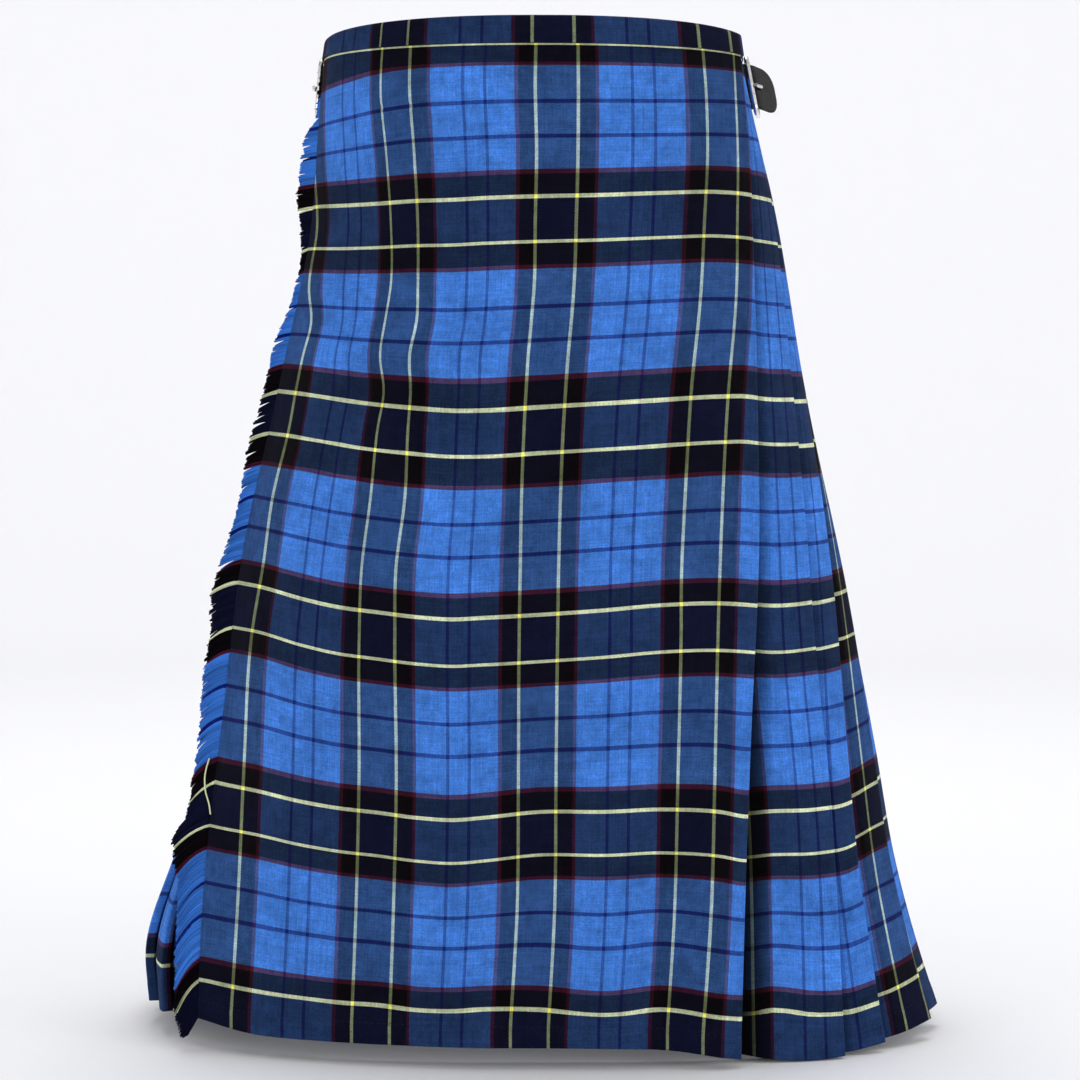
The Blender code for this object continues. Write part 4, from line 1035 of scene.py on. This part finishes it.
def leather(name):
    """Black bridle leather: fine pebbled grain, paler where the surface is worn."""
    made, tree, shader = surface(name, 0.5, shine=0.05)
    body = on_body(tree)
    worn = grain(tree, body, 160.0, 4.0)
    two_tones(tree, shader, worn, (0.35, (0.003, 0.003, 0.003)), (0.75, (0.014, 0.013, 0.012)))
    feed(tree, shader.inputs["Roughness"], sums(tree, "MULTIPLY_ADD", worn, 0.3, 0.36))
    pebble = sums(tree, "ADD", grain(tree, body, 1500.0, 3.0),
                  sums(tree, "MULTIPLY", grain(tree, body, 300.0, 2.0), 1.4))
    bump(tree, shader, pebble, 0.0004, 0.8)
    return made


LEATHER = leather("black_leather_worn")
GREY_THREAD = thread("grey_waxed_thread", (0.075, 0.073, 0.070), (0.020, 0.020, 0.022))


class Hip:
    """A place on the wearer's line at the straps' height, with the way along the strap, the
    way out from the body, and the way up the lean of the cloth. Its buckle lies tilted, from
    the end bar along its own way to the hinge bar."""

    def __init__(self, side, run, direction, end_bar, tilt):
        self.side, self.line, self.run, self.direction = side, BodyLine(STRAP_Z), run, direction
        self.origin = self.on(run, 0.0)
        self.along = unit(self.on(run + direction * 0.001, 0.0) - self.origin)
        self.out = unit(self.on(run, 0.001) - self.origin)
        above, below = (BodyLine(STRAP_Z + rise) for rise in (LEAN_SPAN, -LEAN_SPAN))
        lean = [float(line.place(np.array([run * line.length / self.line.length]),
                                 np.zeros(1))[0] @ self.out) for line in (above, below)]
        self.up = unit(self.out * (lean[0] - lean[1]) / (above.z - below.z) + (0.0, 0.0, 1.0))
        self.end_bar, tilt = np.array(end_bar), math.radians(tilt)
        self.way = np.array((math.cos(tilt), math.sin(tilt)))
        self.proud = np.array((-math.sin(tilt), math.cos(tilt)))
        self.hinge = self.end_bar + self.way * BUCKLE_BARS

    def on(self, run, out):
        """A point at the straps' height, this far round the line and out from it."""
        return np.append(self.line.place(np.array([run]), np.array([out]))[0, :2], STRAP_Z)

    def round_body(self, offsets, out):
        """Along and out of points that follow the body's curve."""
        away = [self.on(self.run + self.direction * at, out) - self.origin for at in offsets]
        return np.stack([away @ self.along, away @ self.out], axis=-1)

    def world(self, flat, up):
        """Points from along, out and up, as whole arrays."""
        return (self.origin + flat[..., :1] * self.along + flat[..., 1:2] * self.out
                + np.asarray(up)[..., None] * self.up)


def eased_path(stops):
    """A smooth path through a few stops: a cubic between each two, evenly divided."""
    run = lengths(stops)
    at = np.linspace(0.0, run[-1], int(run[-1] / PATH_STEP) + 1)
    slopes = np.gradient(stops, run, axis=0)
    i = np.clip(np.searchsorted(run, at, side="right") - 1, 0, len(run) - 2)
    step = (run[i + 1] - run[i])[:, None]
    return cubic((at - run[i])[:, None] / step, step, stops[i], stops[i + 1], slopes[i],
                 slopes[i + 1])


def belt(name, hip, path, half, thickness, pierced=None):
    """A leather strip on edge: the path's two sides, across the strip from one edge to the
    other, with both long edges rounded off. It may be pierced in its middle between two of
    the path's points."""
    shares = np.array((0.0, HOLE_SHARE, 0.45, 0.9, 0.97, 1.0))
    shares = np.concatenate((-shares[:0:-1], shares))
    rounding = np.interp(np.abs(shares), *EDGE_ROUNDING)[:, None]
    outer, inner = (hip.world(side[:, None] + (path - side)[:, None] * rounding,
                              half[:, None] * shares) for side in offset_sides(path, thickness))
    uv = np.stack(np.broadcast_arrays(np.arange(len(path))[:, None] * 0.001, shares), axis=-1)
    points, faces, uv = wall(inner, outer, uv, (pierced, (4, 6)) if pierced else None)
    if np.cross(hip.along, hip.out) @ hip.up < 0:
        faces = faces[:, ::-1]
    return piece_from(name, points, faces, LEATHER, uv, sharp=50.0)


def edge_stitches(hip, path, half):
    """Short stitches along both edges of a strap, each a tube that dips into it at both
    ends."""
    face = offset_sides(path, LEATHER_STRAP)[0]
    run = lengths(face)
    starts = np.arange(STITCH_PITCH, run[-1] - STITCH_PITCH, STITCH_PITCH)
    t = np.linspace(0.0, 1.0, 5)
    at = starts[:, None] + t * STITCH_PITCH * STITCH
    flat = looked_up(at, run, face)
    lift = 0.25 - 0.75 * (2 * t - 1) ** 2
    flat = flat + unit(flat - looked_up(at, run, path)) * STITCH_RADIUS * 1.6 * lift[:, None]
    up = np.interp(at, run, half) - STITCH_IN
    paths = np.concatenate([hip.world(flat, edge * up) for edge in (1, -1)])
    return yarn_piece(hip.side + "_strap_stitches", paths, STITCH_RADIUS, 5, GREY_THREAD)


def strap_half(path):
    """Half the strap's width: full, then a rounded tongue over its last stretch."""
    run = lengths(path)
    share = np.clip((run[-1] - run) / STRAP_TONGUE, 0.0, 1.0)
    return STRAP_WIDTH / 2 * mix((STRAP_TIP, 1.0), np.sqrt(1.0 - (1.0 - share) ** 2))


def prong_path(hip):
    """The prong, along and out: from beside the hinge bar it rises in a hump through the
    strap, and its tip rests on the end bar."""
    rest = BUCKLE_WIRE + PRONG_WIRE + SEAM_GAP
    bend = BUCKLE_WIRE + 2 * SEAM_GAP + CHAPE_LEATHER + PRONG_WIRE
    stops = np.array([start + hip.way * along + hip.proud * out for start, along, out in (
        (hip.hinge, -bend, 0.0), (hip.hinge, -bend - PRONG_KNEE[0], PRONG_KNEE[1]),
        (hip.end_bar, PRONG_HUMP, PRONG_RISE), (hip.end_bar, PRONG_DIP[0], rest + PRONG_DIP[1]),
        (hip.end_bar, -PRONG_TIP, rest))])
    return rounded_folds(np.column_stack([stops, np.zeros(len(stops))]), (2, 8, 5, 3),
                         PRONG_ROUNDING)[:, :2]


def hip_strap(hip, stops):
    """The strap with the hole that its prong goes through, and its stitches."""
    path, prong = eased_path(np.vstack(stops)), prong_path(hip)
    fine = looked_up(np.linspace(0.0, len(prong) - 1.0, 400), np.arange(len(prong)), prong)
    apart = np.min(np.linalg.norm(path[:, None] - fine, axis=2), axis=1)
    near = np.nonzero(apart < PRONG_WIRE + LEATHER_STRAP / 2 + HOLE_PLAY)[0]
    half = strap_half(path)
    stands_for(belt(hip.side + "_strap_leather", hip, path, half, LEATHER_STRAP,
                    (int(near[0]) - 1, int(near[-1]) + 1)),
               hip.side + "_hip_strap")
    edge_stitches(hip, path, half)


def hip_chape(hip, sewn_on):
    """The chape: along the pleats, round the hinge bar in a half circle and back."""
    loop = BUCKLE_WIRE + SEAM_GAP + CHAPE_LEATHER / 2
    sewn = hip.round_body(sewn_on, CHAPE_OUT)
    away = unit(sewn[-1] - hip.hinge)
    beside = np.array((-away[1], away[0]))
    turn = [hip.hinge + loop * (math.cos(a) * -away + math.sin(a) * beside)
            for a in np.linspace(-math.pi / 2, math.pi / 2, 19)]
    lies = sewn[-1] - away * CHAPE_TUCK + beside * (CHAPE_LEATHER + SEAM_GAP + 0.0003)
    path = np.vstack((sewn, turn, lies))
    stands_for(belt(hip.side + "_chape_leather", hip, path, np.full(len(path), CHAPE_WIDTH / 2),
                    CHAPE_LEATHER),
               hip.side + "_hip_chape")


left = Hip("left", BodyLine(STRAP_Z).right_side + HIP_PAST_SIDE, 1, (-0.0045, 0.0072), 9)
right = Hip("right", apron_edge(BodyLine(STRAP_Z), "fringed_x"), -1, (0.0160, 0.0115), -8)
under_apron_in = -UNDER_STAND_IN[0] - CLOTH / 2 - LEATHER_STRAP / 2 - 3 * SEAM_GAP
on_pleats_out = FOLD_OUT[0] + CLOTH / 2 + LEATHER_STRAP / 2 - 0.0001
hip_strap(left, (left.round_body((-0.036, -0.020), under_apron_in), (-0.0075, under_apron_in),
                 LEFT_STRAP))
hip_strap(right, (right.round_body((-0.008, -0.005), on_pleats_out), RIGHT_STRAP))
hip_chape(left, LEFT_SEWN)
hip_chape(right, RIGHT_SEWN)

# ------------------------------------------------------------------ buckles
# Nickel-plated wire buckles with rounded corners. A round prong turns on the hinge bar, goes
# through the strap and rests on the end bar.
BUCKLE_HEIGHT, BUCKLE_CORNER = 0.038, 0.005


def nickel(name):
    """Polished nickel with fine wear scratches."""
    made, tree, shader = surface(name, 0.2, metallic=1.0)
    worn = grain(tree, on_body(tree), 420.0, 4.0)
    two_tones(tree, shader, worn, (0.3, (0.50, 0.49, 0.47)), (0.7, (0.80, 0.79, 0.77)))
    feed(tree, shader.inputs["Roughness"], sums(tree, "MULTIPLY_ADD", worn, 0.2, 0.08))
    bump(tree, shader, worn, 0.00012, 0.6)
    return made


NICKEL = nickel("nickel_worn")


def ring_tube(path, radius, sides):
    """A wire bent into a closed ring: at each point a circle square to the way there."""
    way = unit(np.roll(path, -1, axis=0) - np.roll(path, 1, axis=0))
    flat = unit(np.cross(path[1] - path[0], path[len(path) // 3] - path[0]))
    cos, sin = circle(sides)
    points = path[:, None] + radius * (np.cross(way, flat)[:, None] * cos + flat * sin)
    number = np.arange(len(path) * sides).reshape(len(path), sides)
    on, beside = np.roll(number, -1, axis=0), np.roll(number, -1, axis=1)
    faces = np.stack([number, on, np.roll(on, -1, axis=1), beside], axis=-1)
    return points.reshape(-1, 3), faces.reshape(-1, 4)


def hip_buckle(hip):
    """The frame is a rounded rectangle; the prong rises from the hinge bar in a hump."""
    quarter = np.arange(4)[:, None]
    turn = quarter * math.pi / 2 + np.linspace(0.0, math.pi / 2, 9)
    across = np.where(quarter % 3, -1.0, 1.0) * (BUCKLE_BARS / 2 - BUCKLE_CORNER)
    above = np.where(quarter < 2, 1.0, -1.0) * (BUCKLE_HEIGHT / 2 - BUCKLE_WIRE - BUCKLE_CORNER)
    along = BUCKLE_BARS / 2 + across + BUCKLE_CORNER * np.cos(turn)
    rise = above + BUCKLE_CORNER * np.sin(turn)
    ring = hip.world(hip.end_bar + along.reshape(-1, 1) * hip.way, rise.ravel())
    prong = hip.world(prong_path(hip), 0.0)
    for made, node, (points, faces) in (
            ("_buckle_frame", "_hip_buckle", ring_tube(ring, BUCKLE_WIRE, 16)),
            ("_buckle_prong", "_hip_prong", tubes(prong[None], np.array([[PRONG_WIRE]]), 14))):
        stands_for(piece_from(hip.side + made, points, faces, NICKEL, sharp=50.0),
                   hip.side + node)


hip_buckle(left)
hip_buckle(right)

# ------------------------------------------------------------------ floor and light
# A round pale floor that curves up into a low wall, so that it is the same behind the kilt
# from every side. A big soft lamp stands on each side of the front, and one hangs above.
FLOOR_DROP = 0.0006
FLOOR_REACH, FLOOR_CURVE, WALL_HEIGHT = 2.7, 0.9, 1.9
FLOOR_SIDES = 96


def studio():
    """The floor's profile is flat, then a quarter circle, then upright, turned a full circle."""
    turn = np.linspace(0.0, math.pi / 2, 17)
    out = np.concatenate(([0.9, 1.8], FLOOR_REACH + FLOOR_CURVE * np.sin(turn),
                          [FLOOR_REACH + FLOOR_CURVE]))
    up = np.concatenate(([0.0, 0.0], FLOOR_CURVE * (1 - np.cos(turn)), [WALL_HEIGHT]))
    cos, sin = circle(FLOOR_SIDES)
    points = np.stack(np.broadcast_arrays(cos * out, sin * out,
                                          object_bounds()[0][2] - FLOOR_DROP + up), axis=-1)
    number = np.arange(FLOOR_SIDES * len(out)).reshape(FLOOR_SIDES, len(out))
    faces = strip_faces(number, np.roll(number, -1, axis=0)) + [number[:, 0].tolist()]
    made, _, shader = surface("pale_floor", 0.9)
    shader.inputs["Base Color"].default_value = (0.93, 0.93, 0.95, 1.0)
    piece_from("floor", points.reshape(-1, 3), faces, made)


def soft_light(name, place, aim, width, height, power):
    """A lamp that faces a point, and that lights the kilt without being seen itself."""
    lamp = bpy.data.lights.new(name, "AREA")
    lamp.shape, lamp.size, lamp.size_y, lamp.energy = "RECTANGLE", width, height, power
    holder = bpy.data.objects.new(name, lamp)
    bpy.context.scene.collection.objects.link(holder)
    way = unit(np.subtract(aim, place))
    holder.location = place
    holder.rotation_euler = (math.acos(-way[2]), 0.0, math.atan2(way[0], -way[1]) + math.pi)
    holder.visible_camera = False


studio()
soft_light("left_light", (-1.6, -1.7, -0.26), (0.0, 0.0, -0.45), 1.1, 0.6, 14.0)
soft_light("right_light", (1.9, -1.3, -0.22), (0.0, 0.0, -0.42), 1.3, 0.6, 18.5)
soft_light("top_light", (0.0, 1.0, 2.3), (0.0, 0.8, -0.6), 2.2, 2.2, 39.0)
sky = bpy.data.worlds.new("pale_sky")
sky.use_nodes = True
sky.node_tree.nodes["Background"].inputs[0].default_value = (1.0, 1.0, 1.0, 1.0)
sky.node_tree.nodes["Background"].inputs[1].default_value = 0.60
bpy.context.scene.world = sky
bpy.context.scene.view_settings.view_transform = "Standard"
